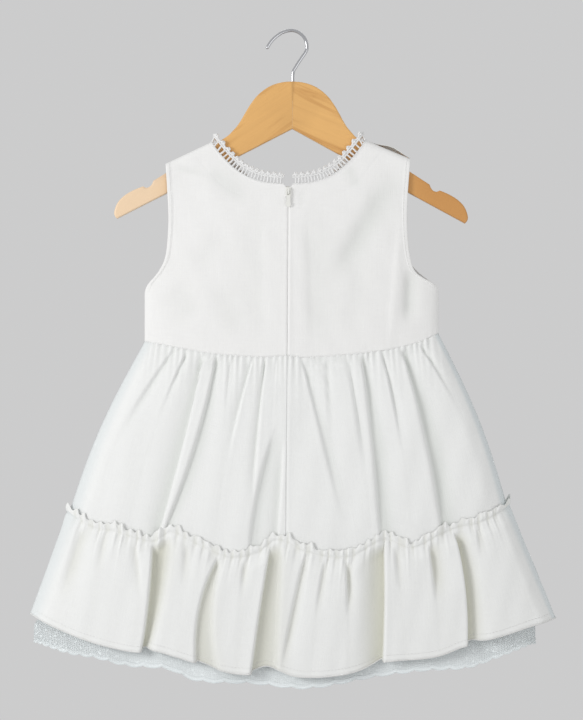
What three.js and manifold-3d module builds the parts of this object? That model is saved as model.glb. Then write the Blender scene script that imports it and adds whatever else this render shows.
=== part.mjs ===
// A toddler's sleeveless tiered dress on a wooden hanger, hung with its back to the viewer.
// Sizes are in millimetres, +Z is up, +X is to the right and the dress's back faces -Y.
// The origin is the inside top of the hook, where a rail carries the hanger.
import * as THREE from 'three';
import { mergeVertices } from 'three/addons/utils/BufferGeometryUtils.js';
import Module from 'manifold-3d';

const wasm = await Module();
wasm.setup();

const { clamp, lerp, smoothstep } = THREE.MathUtils;

// Cloth
const clothThickness = 1.2;
const seamGap = 0.3;
const layerGap = 0.3;
const waistGap = 0.45;

// Bodice
const sideSeamX = 128.2;
const bodiceDepth = 17;
const shoulderDepth = 8.6;
const shoulderRounding = 8;
const shoulderReach = 90;
const sideRoundness = 0.6;
const backNeckZ = -133.4;
const backNeckPower = 2.8;
const frontNeckZ = -151;
const frontNeckPower = 2.3;
const zipTopZ = -138;
const zipTopX = -2.7;
const zipNotchHalfWidth = 3.6;
const centreSeamTopX = -2.7;
const centreSeamWaistX = -3.6;
const centreSeamTierX = -4.8;

// Neck trim
const trimGap = 0.3;
const trimRail = 1.5;
const ladderTop = 6.3;
const trimHeight = 8.6;
const picotHeight = 1.6;
const picotPitch = 5.9;
const ladderPitch = 5.4;
const trimShoulderLean = new THREE.Vector2(0.4, 0.92);

// Skirt, tier and underskirt
const waistDepth = 17;
const tierSeamDepth = 28;
const hemDepth = 31;
const skirtBulge = 5.6;
const skirtRoom = 0.85;
const skirtDepthRise = 0.8;
const skirtFullness = 3.2;
const skirtLap = 3;
const tierLift = 0.9;
const tierFullness = 3.5;
const headingHeight = 6.5;
const headingFlare = 3.2;
const headingRipple = 0.8;
const seamFlare = 0.7;
const underskirtDepth = 15.1;
const underskirtInset = 1.9;
const underskirtWave = 1.3;
const underskirtWaves = 13;
const laceSpread = 1.005;
const laceHeight = 32;
const laceScallop = 1.9;
const laceColumnsPerScallop = 3;

// Hanger
const hangerCentreX = 1.2;
const crownTopZ = -43.3;
const hangerThickness = 12;
const hangerBevel = 1.5;
const hangerTilt = 0.79;
const wireRadius = 1.5;
const hookTurnRadius = 14.1;
const hookTurnX = -0.6;
const hookHoleRadius = 2.2;
const hookHoleDepth = 22;

// Zip
const sliderDrop = 1.6;
const sliderSize = { width: 4.6, height: 7.6, plate: 1.3, bevel: 0.3 };
const crownSize = { width: 1.3, length: 5.2, window: 3.2, tunnel: 1.5, strap: 0.8, sunk: 0.4 };
const pullSize = {
  length: 14,
  tip: 2.1,
  neck: 1.8,
  bar: 0.45,
  windowHalf: 1.05,
  windowEnd: 3.5,
  shoulder: 0.8,
  sheet: 0.8,
};

const table = (names, rows) =>
  rows.map((row) => Object.fromEntries(names.split(' ').map((name, column) => [name, row[column]])));

// The waist seam, seen from behind.
const waistLine = table('x z', [
  [-128.2, -270.3],
  [-100, -275.6],
  [-75, -280.2],
  [-50, -283],
  [-21, -284.4],
  [-4, -283],
  [10, -284.6],
  [44, -282.6],
  [78, -278.8],
  [97, -275],
  [113, -270.4],
  [128.2, -263],
]);

// The gathered seam between the skirt and its tier, swagged between the tier's deep folds.
const tierSeamLine = table('x z', [
  [-195, -418.5],
  [-170, -431],
  [-152, -434],
  [-139, -438.5],
  [-119, -442.5],
  [-104, -434.5],
  [-80, -445.5],
  [-54, -456],
  [-30, -452.5],
  [-12, -441],
  [12, -451],
  [49, -456],
  [80, -441],
  [104, -448],
  [128, -437],
  [146, -430],
  [163, -426.5],
  [189, -413],
]);

const tierHemLine = table('x z', [
  [-227.2, -506],
  [-199, -519.7],
  [-169, -531],
  [-134, -538.5],
  [-122, -536.5],
  [-82, -548],
  [-60, -555],
  [-37, -557.5],
  [-20, -553],
  [5, -559.5],
  [41, -558.3],
  [71, -551],
  [80, -547],
  [125, -542.3],
  [152, -532.5],
  [180, -525.3],
  [207, -516.5],
  [230, -510],
]);

const laceHemLine = table('x z', [
  [-222, -530],
  [-192, -539],
  [-170, -542.5],
  [-142, -549.5],
  [-108, -552],
  [-82, -562],
  [-36, -564.5],
  [14, -568.5],
  [66, -560],
  [113, -553.5],
  [153, -551],
  [177, -543],
  [208, -531],
]);

const backArmholes = {
  left: table('x z', [
    [-128.2, -227],
    [-125, -220],
    [-116, -209.4],
    [-109.7, -196],
    [-107.3, -173],
    [-107.3, -153],
    [-109.6, -114.7],
  ]),
  right: table('x z', [
    [128.2, -223],
    [123, -219],
    [108, -209.5],
    [102.6, -193],
    [100.6, -168],
    [101.2, -141],
    [103.6, -110.6],
  ]),
};

const frontArmholes = {
  left: table('x z', [
    [-128.2, -227],
    [-124, -220.5],
    [-112, -210],
    [-104.5, -195],
    [-102, -173],
    [-103.5, -150],
    [-109.6, -114.7],
  ]),
  right: table('x z', [
    [128.2, -223],
    [125.5, -220],
    [110, -208],
    [101, -194],
    [97.5, -168],
    [98.5, -141],
    [103.6, -110.6],
  ]),
};

const neckPoints = {
  left: { x: -70.6, z: -96.3 },
  right: { x: 65.3, z: -94.6 },
};

// Soft creases of the bodice: a line across the panel, the depth pressed in and its half width.
const backCreases = table('fromX fromZ toX toZ depth width', [
  [80, -128, 48, -187, 1.9, 11],
  [92, -200, 100, -262, 2.2, 9],
  [-96, -122, -50, -146, 1.5, 8],
  [8.3, -138, 9.5, -152, 0.9, 3.5],
  [-104, -222, -84, -250, 1.1, 12],
]);

const frontCreases = table('fromX fromZ toX toZ depth width', [
  [-82, -128, -52, -186, 1.8, 11],
  [86, -126, 52, -176, 1.6, 10],
  [-96, -204, -102, -258, 2, 10],
  [62, -226, 96, -212, 1.3, 9],
]);

// Gathers of the skirt's back: where a trough starts at the waist and reaches the tier, how deep it is
// pressed, its half width, and the shares of the skirt's height where it begins and fades.
const backGathers = table('top bottom depth width begins fades', [
  [-117, -175, 3.2, 5, 0, 0.45],
  [-101, -150, 4.2, 5, 0, 0.75],
  [-88, -133, 3, 4.5, 0, 0.4],
  [-77, -113, 6.2, 6.5, 0, 1],
  [-66, -100, 5.6, 6, 0, 1],
  [-52, -76, 2.6, 4.5, 0, 0.3],
  [-36, -54, 4.2, 5, 0, 0.7],
  [-22, -33, 5.2, 5.5, 0, 1],
  [-13, -17, 3.4, 4.5, 0.1, 0.95],
  [10, 33, 5, 5.5, 0, 0.9],
  [27, 49, 3, 5, 0, 0.45],
  [44, 62, 4.2, 5.5, 0, 0.75],
  [61, 76, 6.4, 6.5, 0, 1],
  [79, 99, 4.2, 5, 0, 0.6],
  [98, 128, 7, 7, 0, 1],
  [114, 152, 3.6, 5, 0, 0.55],
]);

const frontGathers = table('top bottom depth width begins fades', [
  [-114, -168, 4.4, 6, 0, 0.8],
  [-95, -134, 5.6, 6.5, 0, 1],
  [-78, -116, 3.2, 5, 0, 0.5],
  [-60, -92, 6, 6.5, 0, 1],
  [-41, -58, 3.6, 5, 0, 0.6],
  [-24, -38, 5, 6, 0, 0.9],
  [-5, -4, 3.2, 5, 0, 0.45],
  [13, 24, 5.8, 6.5, 0, 1],
  [31, 46, 3.4, 5, 0, 0.55],
  [50, 78, 5.2, 6, 0, 1],
  [69, 103, 3.4, 5, 0, 0.6],
  [88, 130, 6.2, 6.5, 0, 1],
  [110, 162, 4.2, 5.5, 0, 0.7],
]);

// Folds of the tier, in the same columns, with the shares of the tier's height.
const backTierFolds = table('top bottom depth width begins fades', [
  [-178, -205, 3, 7, 0, 0.8],
  [-139, -154, 4, 7, 0, 0.65],
  [-111, -127, 9.5, 7.5, 0, 1],
  [-84, -98, 3, 6, 0, 0.6],
  [-62, -73, 10, 9, 0, 1],
  [-38, -46, 3.5, 6, 0, 0.5],
  [-13, -20, 10, 9.5, 0, 1],
  [10, -4, 4, 6, 0, 0.9],
  [29, 14, 3, 6, 0, 0.75],
  [48, 49, 3.5, 6, 0, 0.7],
  [72, 73, 10, 8, 0, 1],
  [96, 104, 3, 6, 0, 0.6],
  [119, 124, 4.5, 7, 0, 0.8],
  [140, 158, 9.5, 7.5, 0, 1],
  [164, 184, 3, 6, 0, 0.5],
]);

const frontTierFolds = table('top bottom depth width begins fades', [
  [-172, -196, 3.6, 7, 0, 0.8],
  [-143, -166, 9, 8.5, 0, 1],
  [-112, -128, 3.6, 7, 0, 0.7],
  [-84, -98, 9.5, 9, 0, 1],
  [-52, -56, 4, 7, 0, 0.8],
  [-20, -28, 10, 9, 0, 1],
  [11, 14, 3.4, 6, 0, 0.6],
  [44, 50, 9.5, 8.5, 0, 1],
  [78, 88, 4, 7, 0, 0.8],
  [108, 130, 9, 8.5, 0, 1],
  [146, 172, 3.6, 7, 0, 0.7],
]);

// One arm of the hanger, from the mitre over its shoulder to the tip, and back along the underside.
const armOutline = table('x z', [
  [0.15, -43.3],
  [7.5, -43.8],
  [15.5, -45.8],
  [22.7, -49.3],
  [30.3, -55.5],
  [36, -62.7],
  [40.4, -70],
  [44.2, -76.8],
  [47.4, -81.9],
  [51.5, -86.7],
  [59.5, -93.9],
  [90, -112.3],
  [120.5, -131.6],
  [122.2, -135],
  [127.6, -138],
  [129.2, -136.4],
  [137.6, -139.9],
  [145.5, -144.8],
  [151.2, -151],
  [154, -158.6],
  [151.6, -164.9],
  [106, -141],
  [0.15, -84.6],
]);

const hookStem = table('x z', [
  [1.2, -60],
  [1.2, -47],
  [1.4, -35.6],
  [3.6, -30.6],
  [8.6, -22.9],
  [12.6, -16.9],
]);

const hookTip = table('x z', [
  [-7.8, -0.3],
  [-14, -4.4],
  [-18.6, -9.4],
  [-21.7, -14.8],
]);

// Shares at which the panels' columns and rows stand.
const bodiceColumns = [0, 0.14, 0.28, 0.42, 0.56, 0.7, 0.83, 0.94, 1];
const bodiceRows = [0, 0.16, 0.32, 0.48, 0.64, 0.8, 1];
const shoulderRows = [0.18, 0.38, 0.6, 0.78, 0.89, 0.95, 0.98, 1];
const armholeShare = 0.62;
const backArmholeStep = 0.03;
const underarmShare = 0.3;
const neckSteps = 24;
const skirtRows = [0, 0.05, 0.18, 0.38, 0.6, 0.82, 1];
const tierRows = [0.07, 0.28, 0.62, 1];
const underskirtRows = [0, 0.5, 1];
const underskirtColumns = 32;
const sideColumns = [90, 84, 76];

const materials = {
  cloth: { color: 0xf3f4f1, roughness: 0.86, metalness: 0 },
  lining: { color: 0xeef1f0, roughness: 0.7, metalness: 0 },
  lace: { color: 0xe2ebed, roughness: 0.8, metalness: 0 },
  wood: { color: 0xdda766, roughness: 0.42, metalness: 0 },
  chrome: { color: 0xc9ccd0, roughness: 0.12, metalness: 1 },
  lacquer: { color: 0xf2f2ec, roughness: 0.3, metalness: 0 },
};

const garment = new THREE.Group();

function add(name, geometry, finish, parent = garment) {
  const mesh = new THREE.Mesh(geometry, new THREE.MeshStandardMaterial(materials[finish]));
  mesh.name = name;
  parent.add(mesh);
  return mesh;
}

// A smooth line through the rows of a table, as a function of one of its columns.
function follow(rows, from, to) {
  const slopeAt = (index) => {
    const before = rows[Math.max(index - 1, 0)];
    const after = rows[Math.min(index + 1, rows.length - 1)];
    return (after[to] - before[to]) / (after[from] - before[from]);
  };
  return (place) => {
    const at = clamp(place, rows[0][from], rows[rows.length - 1][from]);
    const index = clamp(rows.findIndex((row) => row[from] > at) - 1, 0, rows.length - 2);
    const start = at >= rows[rows.length - 1][from] ? rows.length - 2 : index;
    const low = rows[start];
    const high = rows[start + 1];
    const span = high[from] - low[from];
    const t = (at - low[from]) / span;
    const rise = high[to] - low[to];
    const leave = slopeAt(start) * span - rise;
    const arrive = rise - slopeAt(start + 1) * span;
    return lerp(low[to], high[to], t) + t * (1 - t) * (leave * (1 - t) + arrive * t);
  };
}

// A point at a share of the length of a polyline through smooth table rows.
function alongRows(rows, share) {
  const curve = new THREE.SplineCurve(rows.map((row) => new THREE.Vector2(row.x, row.z)));
  return curve.getPointAt(clamp(share, 0, 1));
}

// A sheet of cloth: welded points with faces, and the axis that each seam edge keeps clear of.
class Sheet {
  constructor(outward) {
    this.outward = outward;
    this.points = [];
    this.pins = [];
    this.faces = [];
    this.places = new Map();
  }

  point(position, pin = '') {
    const place = position.toArray().map((value) => value.toFixed(3)).join(' ');
    if (!this.places.has(place)) {
      this.places.set(place, this.points.length);
      this.points.push(position.clone());
      this.pins.push(new Set());
    }
    const index = this.places.get(place);
    [...pin].forEach((axis) => this.pins[index].add(axis));
    return index;
  }

  face(...corners) {
    for (let corner = 2; corner < corners.length; corner += 1) {
      this.faces.push([corners[0], corners[corner - 1], corners[corner]]);
    }
  }

  // Rows of point indices become faces, apart from the cells that are cut out.
  grid(rows, isCut = () => false) {
    for (let row = 1; row < rows.length; row += 1) {
      for (let column = 1; column < rows[row].length; column += 1) {
        if (isCut(row - 1, column - 1)) continue;
        const low = rows[row - 1];
        const high = rows[row];
        this.face(low[column - 1], low[column], high[column], high[column - 1]);
      }
    }
  }

  normals() {
    const normals = this.points.map(() => new THREE.Vector3());
    const sum = new THREE.Vector3();
    for (const [a, b, c] of this.faces) {
      const along = this.points[b].clone().sub(this.points[a]);
      const normal = along.cross(this.points[c].clone().sub(this.points[a]));
      sum.add(normal);
      [a, b, c].forEach((corner) => normals[corner].add(normal));
    }
    if (sum.dot(this.outward) < 0) {
      this.faces.forEach((face) => face.reverse());
      normals.forEach((normal) => normal.negate());
    }
    normals.forEach((normal, index) => {
      this.pins[index].forEach((axis) => {
        normal[axis] = 0;
      });
      normal.normalize();
    });
    return normals;
  }

  // The closed wall between the sheet's outer points and the same points moved in.
  wall(thickness = clothThickness) {
    const normals = this.normals();
    const inner = this.points.map((point, index) =>
      point.clone().addScaledVector(normals[index], -thickness),
    );
    const count = this.points.length;
    const triangles = [];
    const edges = new Set();
    for (const [a, b, c] of this.faces) {
      triangles.push(a, b, c, count + c, count + b, count + a);
      [[a, b], [b, c], [c, a]].forEach(([from, to]) => edges.add(`${from} ${to}`));
    }
    for (const edge of edges) {
      const [from, to] = edge.split(' ').map(Number);
      if (edges.has(`${to} ${from}`)) continue;
      triangles.push(to, from, count + from, to, count + from, count + to);
    }
    const geometry = new THREE.BufferGeometry();
    geometry.setFromPoints([...this.points, ...inner]);
    geometry.setIndex(triangles);
    return geometry;
  }
}

// The dress's halves: the back faces -Y and the front +Y.
const halves = {
  back: { facing: -1, gathers: backGathers, tierFolds: backTierFolds, creases: backCreases },
  front: { facing: 1, gathers: frontGathers, tierFolds: frontTierFolds, creases: frontCreases },
};

// Flattened round section: how deep the cloth stands at a share of its half width.
const sectionDepth = (share) => Math.pow(Math.max(1 - share * share, 0), sideRoundness / 2);

function shoulderZ(x) {
  const side = x < 0 ? 'left' : 'right';
  const neck = neckPoints[side];
  const tip = backArmholes[side][backArmholes[side].length - 1];
  const share = clamp((x - neck.x) / (tip.x - neck.x), 0, 1.3);
  return lerp(neck.z, tip.z, share);
}

function creaseDepth(creases, x, z) {
  let depth = 0;
  for (const crease of creases) {
    const alongX = crease.toX - crease.fromX;
    const alongZ = crease.toZ - crease.fromZ;
    const length = Math.hypot(alongX, alongZ);
    const share = ((x - crease.fromX) * alongX + (z - crease.fromZ) * alongZ) / (length * length);
    const across = ((x - crease.fromX) * alongZ - (z - crease.fromZ) * alongX) / length;
    const fade = smoothstep(share, -0.15, 0.3) * (1 - smoothstep(share, 0.7, 1.15));
    depth += crease.depth * fade * Math.exp(-((across / crease.width) ** 2));
  }
  return depth;
}

// How far the bodice's outer face stands from the middle plane: rounded over the hanger at the shoulder,
// and filling out to the body's own section below it.
function bodiceFace(half, x, z) {
  const drop = Math.max(shoulderZ(x) - z, 0);
  const overHanger = Math.cbrt(1 - (1 - Math.min(drop / shoulderRounding, 1)) ** 3);
  const body = bodiceDepth * sectionDepth(clamp(x / sideSeamX, -1, 1));
  const share = smoothstep(drop, shoulderRounding, shoulderReach);
  const sideShare = smoothstep(drop, shoulderReach, shoulderReach + 25);
  const pressed = creaseDepth(half.creases, x, z) * share;
  return Math.max(lerp(shoulderDepth * overHanger, body, Math.max(share, sideShare)) - pressed, 0);
}

const onHalf = (half, x, z, depth) => new THREE.Vector3(x, half.facing * (seamGap / 2 + depth), z);

const smoothWaist = follow(waistLine, 'x', 'z');
const waistNodes = ['left', 'right'].flatMap((side) =>
  bodiceColumns.map((share) => {
    const x = lerp(centreSeamWaistX, side === 'left' ? -sideSeamX : sideSeamX, share);
    return { x, z: smoothWaist(x) };
  }),
).sort((one, other) => one.x - other.x);

// The waist seam follows the bodice's own columns, so that both edges are the same line.
function waistZ(x) {
  const index = clamp(waistNodes.findIndex((node) => node.x >= x), 1, waistNodes.length - 1);
  const low = waistNodes[index - 1];
  const high = waistNodes[index];
  return lerp(low.z, high.z, clamp((x - low.x) / Math.max(high.x - low.x, 1e-6), 0, 1));
}

function neckEdge(half, side) {
  const shoulder = neckPoints[side];
  const isBack = half === halves.back;
  const bottomZ = isBack ? backNeckZ : frontNeckZ;
  const power = isBack ? backNeckPower : frontNeckPower;
  const sign = side === 'left' ? -1 : 1;
  const centreX = isBack ? zipTopX : centreSeamTopX;
  const startX = isBack ? centreX + sign * zipNotchHalfWidth : centreX;
  const neckPoint = (share) => {
    const x = lerp(startX, shoulder.x, Math.sin((share * Math.PI) / 2) ** 1.1);
    const reach = clamp((x - centreX) / (shoulder.x - centreX), 0, 1);
    return { x, z: bottomZ + (shoulder.z - bottomZ) * reach ** power };
  };
  const rows = Array.from({ length: neckSteps + 1 }, (_, step) => neckPoint(step / neckSteps));
  return { bottom: { x: startX, z: bottomZ }, rows };
}

// Rows that run out from the middle, turned to run from left to right.
const fromLeft = (rows, side) => (side === 'left' ? rows.map((row) => [...row].reverse()) : rows);

// One side of a bodice panel, from its centre line and neck out to its side seam and armhole.
function addBodiceSide(sheet, half, side) {
  const isBack = half === halves.back;
  const sign = side === 'left' ? -1 : 1;
  const armhole = (isBack ? backArmholes : frontArmholes)[side];
  const neck = neckEdge(half, side);
  const lowestZ = isBack ? zipTopZ : frontNeckZ;
  const waistX = centreSeamWaistX;
  const gap = isBack ? (sign * seamGap) / 2 : 0;
  const underarmZ = armhole[0].z;
  const sideZ = waistZ(sign * sideSeamX);
  const shoulderStart = isBack ? armholeShare + backArmholeStep : armholeShare;

  const outerPoint = (share) => {
    if (share <= underarmShare) {
      return { x: sign * sideSeamX, z: lerp(sideZ, underarmZ, share / underarmShare), seam: true };
    }
    const point = alongRows(armhole, (share - underarmShare) / (1 - underarmShare));
    return { x: point.x, z: point.y, seam: false };
  };
  const rows = [
    ...bodiceRows.map((share) => ({
      inner: {
        x: lerp(waistX, centreSeamTopX, share) + gap,
        z: lerp(waistZ(waistX), lowestZ, share),
      },
      outer: outerPoint(share * armholeShare),
    })),
    ...(isBack ? [{ inner: neck.bottom, outer: outerPoint(shoulderStart) }] : []),
    ...shoulderRows.map((share) => {
      const point = alongRows(neck.rows, share);
      return { inner: { x: point.x, z: point.y }, outer: outerPoint(lerp(shoulderStart, 1, share)) };
    }),
  ];
  const last = rows.length - 1;
  const indices = rows.map((row, rowIndex) =>
    bodiceColumns.map((share, column) => {
      const x = lerp(row.inner.x, row.outer.x, share);
      const isWaist = rowIndex === 0;
      const seamZAt = waistZ(lerp(waistX, row.outer.x, share)) + waistGap;
      const z = isWaist ? seamZAt : lerp(row.inner.z, row.outer.z, share);
      const isSide = column === bodiceColumns.length - 1 && row.outer.seam;
      const isCentre = isBack && column === 0 && rowIndex < bodiceRows.length;
      const isShoulder = rowIndex === last;
      const depth = isSide || isShoulder ? 0 : bodiceFace(half, x, z);
      const pin = (isWaist ? 'z' : '') + (isSide || isShoulder ? 'y' : '') + (isCentre ? 'x' : '');
      return sheet.point(onHalf(half, x, z, depth), pin);
    }),
  );
  sheet.grid(fromLeft(indices, side));
}

function bodicePanel(half, sides) {
  const sheet = new Sheet(new THREE.Vector3(0, half.facing, 0));
  sides.forEach((side) => addBodiceSide(sheet, half, side));
  return sheet.wall();
}

// The neck edge as the bodice's own rows leave it, with straight stretches between them.
function neckStretches(half, side) {
  const neck = neckEdge(half, side);
  const places = [0, ...shoulderRows].map((share) => {
    const point = alongRows(neck.rows, share);
    const depth = share === 1 ? 0 : bodiceFace(half, point.x, point.y);
    return new THREE.Vector3(point.x, depth, point.y);
  });
  const path = new THREE.CurvePath();
  places.slice(1).forEach((place, index) => path.add(new THREE.LineCurve3(places[index], place)));
  return path;
}

// The ladder lace: a rail, bars with open cells between them, and a band edged with picots.
function addTrimSide(sheet, half, side) {
  const neck = neckEdge(half, side);
  const curve = new THREE.SplineCurve(neck.rows.map((row) => new THREE.Vector2(row.x, row.z)));
  const stretches = neckStretches(half, side);
  const sign = side === 'left' ? -1 : 1;
  const length = curve.getLength();
  const cells = 2 * Math.round(length / ladderPitch) + 1;
  const isBack = half === halves.back;
  const columns = Array.from({ length: cells + 1 }, (_, column) => column / cells);
  const heights = (share) => {
    const picot = picotHeight * Math.abs(Math.sin((share * length * Math.PI) / picotPitch));
    return [trimGap, trimRail, ladderTop, trimHeight + picot];
  };
  const rows = [0, 1, 2, 3].map((row) =>
    columns.map((share) => {
      const edge = stretches.getPointAt(share);
      const tangent = curve.getTangentAt(share);
      const inward = new THREE.Vector2(-sign * tangent.y, sign * tangent.x);
      if (inward.y < 0) inward.negate();
      const shoulderLean = new THREE.Vector2(-sign * trimShoulderLean.x, trimShoulderLean.y);
      inward.lerp(shoulderLean, smoothstep(share, 0.8, 1)).normalize();
      if (!isBack && share === 0) inward.set(0, 1);
      const height = heights(share)[row];
      const place = onHalf(half, edge.x + inward.x * height, edge.z + inward.y * height, edge.y);
      return sheet.point(place, share === 1 ? 'y' : '');
    }),
  );
  sheet.grid(fromLeft(rows, side), (row, column) => row === 1 && column % 2 === 1);
}

function neckTrim(half, sides) {
  const sheet = new Sheet(new THREE.Vector3(0, half.facing, 0));
  sides.forEach((side) => addTrimSide(sheet, half, side));
  return sheet.wall();
}

// Half widths of the rings along the skirt and tier, left and right of the middle.
const skirtWidths = {
  left: { top: sideSeamX, bottom: 194 },
  right: { top: sideSeamX, bottom: 188 },
};
const tierWidths = {
  left: { top: 195.5, bottom: 227.2 },
  right: { top: 190, bottom: 230 },
};
const underskirtWidths = {
  left: { top: sideSeamX - underskirtInset, bottom: 220 },
  right: { top: sideSeamX - underskirtInset, bottom: 207 },
};

function halfWidth(widths, x, share, bulge) {
  const side = x < 0 ? widths.left : widths.right;
  return lerp(side.top, side.bottom, share) + bulge * Math.sin(Math.PI * share);
}

// How deep the folds press at a place across the cloth, with the shares of its height.
function foldDepth(folds, x, share) {
  let depth = 0;
  for (const fold of folds) {
    const centre = lerp(fold.top, fold.bottom, share);
    const rise = smoothstep(share, fold.begins, fold.begins + 0.12);
    const fall = 1 - 0.92 * smoothstep(share, fold.fades - 0.25, fold.fades + 0.05);
    const strength = fold.fades === 1 ? rise : rise * fall;
    depth += fold.depth * strength * Math.exp(-(Math.abs((x - centre) / fold.width) ** 2.4));
  }
  return depth;
}

// A point of a ring: across at x, out from the flattened section along its own normal.
function ringPoint(half, x, z, width, depth, out) {
  const share = clamp(x / width, -1, 1);
  const stand = depth * sectionDepth(share);
  const rise = Math.sqrt(Math.max(1 - share * share, 0));
  const normal = new THREE.Vector2(share / width, rise / depth).normalize();
  const point = onHalf(half, x + normal.x * out, z, stand + normal.y * out);
  if (Math.abs(share) === 1) point.y = (half.facing * seamGap) / 2;
  return point;
}

const seamZ = follow(tierSeamLine, 'x', 'z');
const hemZ = follow(tierHemLine, 'x', 'z');
const laceHemZ = follow(laceHemLine, 'x', 'z');

// Columns of a gathered panel: one in each trough, one on each crest between, and some at the sides.
function gatherColumns(folds, widths, from, to, betweens) {
  const sideSigns = [-1, 1];
  const sides = sideSigns.flatMap((sign) => {
    const width = sign < 0 ? widths.left : widths.right;
    return sideColumns.map((degrees) => {
      const share = sign * Math.sin(THREE.MathUtils.degToRad(degrees));
      return { top: width.top * share, bottom: width.bottom * share };
    });
  });
  const marks = [...folds, ...sides].sort((one, other) => one.bottom - other.bottom);
  const columns = [];
  marks.forEach((mark, index) => {
    if (index > 0) {
      const before = marks[index - 1];
      const steps = mark.bottom - before.bottom > betweens ? [1 / 4, 1 / 2, 3 / 4] : [1 / 2];
      if (mark.bottom - before.bottom > betweens / 4) {
        steps.forEach((share) => {
          const top = lerp(before.top, mark.top, share);
          columns.push({ top, bottom: lerp(before.bottom, mark.bottom, share) });
        });
      }
    }
    columns.push({ top: mark.top, bottom: mark.bottom });
  });
  const inside = columns.filter(
    (column) => column.bottom > from.bottom + clothThickness && column.bottom < to.bottom - clothThickness,
  );
  return [from, ...inside, to];
}

// How far the skirt's cloth stands out from its ring.
function skirtOut(half, x, share, width) {
  const sideFade = 1 - smoothstep(Math.abs(x / width), 0.9, 1);
  const fullness = skirtFullness * smoothstep(share, 0, 0.16);
  const room = skirtRoom * (tierSeamDepth - waistDepth) * share;
  const settle = 1 - 0.5 * smoothstep(share, 0.85, 1);
  const out = (fullness - foldDepth(half.gathers, x, share)) * settle * sideFade;
  return Math.max(out, -room);
}

function skirtPoint(half, column, share, drop = 0) {
  const x = lerp(column.top, column.bottom, share);
  const width = halfWidth(skirtWidths, x, share, skirtBulge);
  const straight = halfWidth(skirtWidths, x, share, 0);
  const across = (x / straight) * width;
  const z = lerp(waistZ(column.top), seamZ(column.bottom), share) - drop;
  const depth = lerp(waistDepth, tierSeamDepth, share ** skirtDepthRise);
  return ringPoint(half, across, z, width, depth, skirtOut(half, x, share, straight));
}

function skirtPanel(half, side) {
  const sheet = new Sheet(new THREE.Vector3(0, half.facing, 0));
  const leftEdge = { top: -skirtWidths.left.top, bottom: -skirtWidths.left.bottom, pin: 'y' };
  const rightEdge = { top: skirtWidths.right.top, bottom: skirtWidths.right.bottom, pin: 'y' };
  const centre = (sign) => ({
    top: centreSeamWaistX + (sign * seamGap) / 2,
    bottom: centreSeamTierX + (sign * seamGap) / 2,
    pin: 'x',
  });
  const from = side === 'right' ? centre(1) : leftEdge;
  const to = side === 'left' ? centre(-1) : rightEdge;
  const columns = gatherColumns(half.gathers, skirtWidths, from, to, 18);
  const rows = skirtRows.map((share) =>
    columns.map((column) => {
      const drop = share === 1 ? skirtLap : 0;
      const pin = (column.pin ?? '') + (share === 0 ? 'z' : '');
      return sheet.point(skirtPoint(half, column, share, drop), pin);
    }),
  );
  sheet.grid(rows);
  return sheet.wall();
}

// How far the flounce's cloth stands out from its ring.
function tierOut(half, x, share, width) {
  const sideFade = 1 - smoothstep(Math.abs(x / width), 0.93, 1);
  const start = smoothstep(share, 0.02, 0.22);
  const out = (tierFullness - foldDepth(half.tierFolds, x, share)) * start;
  return out * sideFade;
}

function tierPoint(half, column, share, lift = 0, out = 0) {
  const x = lerp(column.top, column.bottom, share);
  const width = halfWidth(tierWidths, x, share, 0);
  const depth = lerp(tierSeamDepth + clothThickness, hemDepth, share);
  const skirtWidth = halfWidth(skirtWidths, x, 1, 0);
  const leavesSkirt = 1 - smoothstep(share, 0, 0.15);
  const seamOut = skirtOut(half, x * (skirtWidth / width), 1, skirtWidth) * leavesSkirt;
  const z = lerp(seamZ(column.top), hemZ(column.bottom), share) + lift;
  const folds = tierOut(half, x, share, width);
  return ringPoint(half, x, z, width, depth, seamOut + tierLift + folds + out);
}

// The gathered flounce, with a frilled heading above its seam that has twice as many columns.
function tierPanel(half) {
  const sheet = new Sheet(new THREE.Vector3(0, half.facing, 0));
  const from = { top: -tierWidths.left.top, bottom: -tierWidths.left.bottom };
  const to = { top: tierWidths.right.top, bottom: tierWidths.right.bottom };
  const columns = gatherColumns(half.tierFolds, tierWidths, from, to, 15);
  const fineColumns = columns.flatMap((column, index) => {
    if (index === 0) return [column];
    const before = columns[index - 1];
    const middle = {
      top: (before.top + column.top) / 2,
      bottom: (before.bottom + column.bottom) / 2,
    };
    return [middle, column];
  });
  const headingRow = (lift, flare, ripple) =>
    fineColumns.map((column, index) => {
      const side = index === 0 || index === fineColumns.length - 1;
      const wave = side ? 0 : (index % 2 === 0 ? 0.1 : 1) * (0.75 + 0.25 * Math.sin(index * 1.9));
      const height = lift + (side ? 0 : ripple * Math.sin(index * 1.3));
      return sheet.point(tierPoint(half, column, 0, height, flare * wave), side ? 'y' : '');
    });
  const heading = headingRow(headingHeight, headingFlare, headingRipple);
  const seam = headingRow(0, seamFlare, 0);
  const body = tierRows.map((share) =>
    columns.map((column, index) => {
      const side = index === 0 || index === columns.length - 1;
      return sheet.point(tierPoint(half, column, share), side ? 'y' : '');
    }),
  );
  sheet.grid([heading, seam]);
  body[0].forEach((_, index) => {
    if (index === 0) return;
    sheet.face(body[0][index - 1], seam[2 * index - 2], seam[2 * index - 1]);
    sheet.face(body[0][index - 1], seam[2 * index - 1], body[0][index]);
    sheet.face(body[0][index], seam[2 * index - 1], seam[2 * index]);
  });
  sheet.grid(body);
  return sheet.wall();
}

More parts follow.
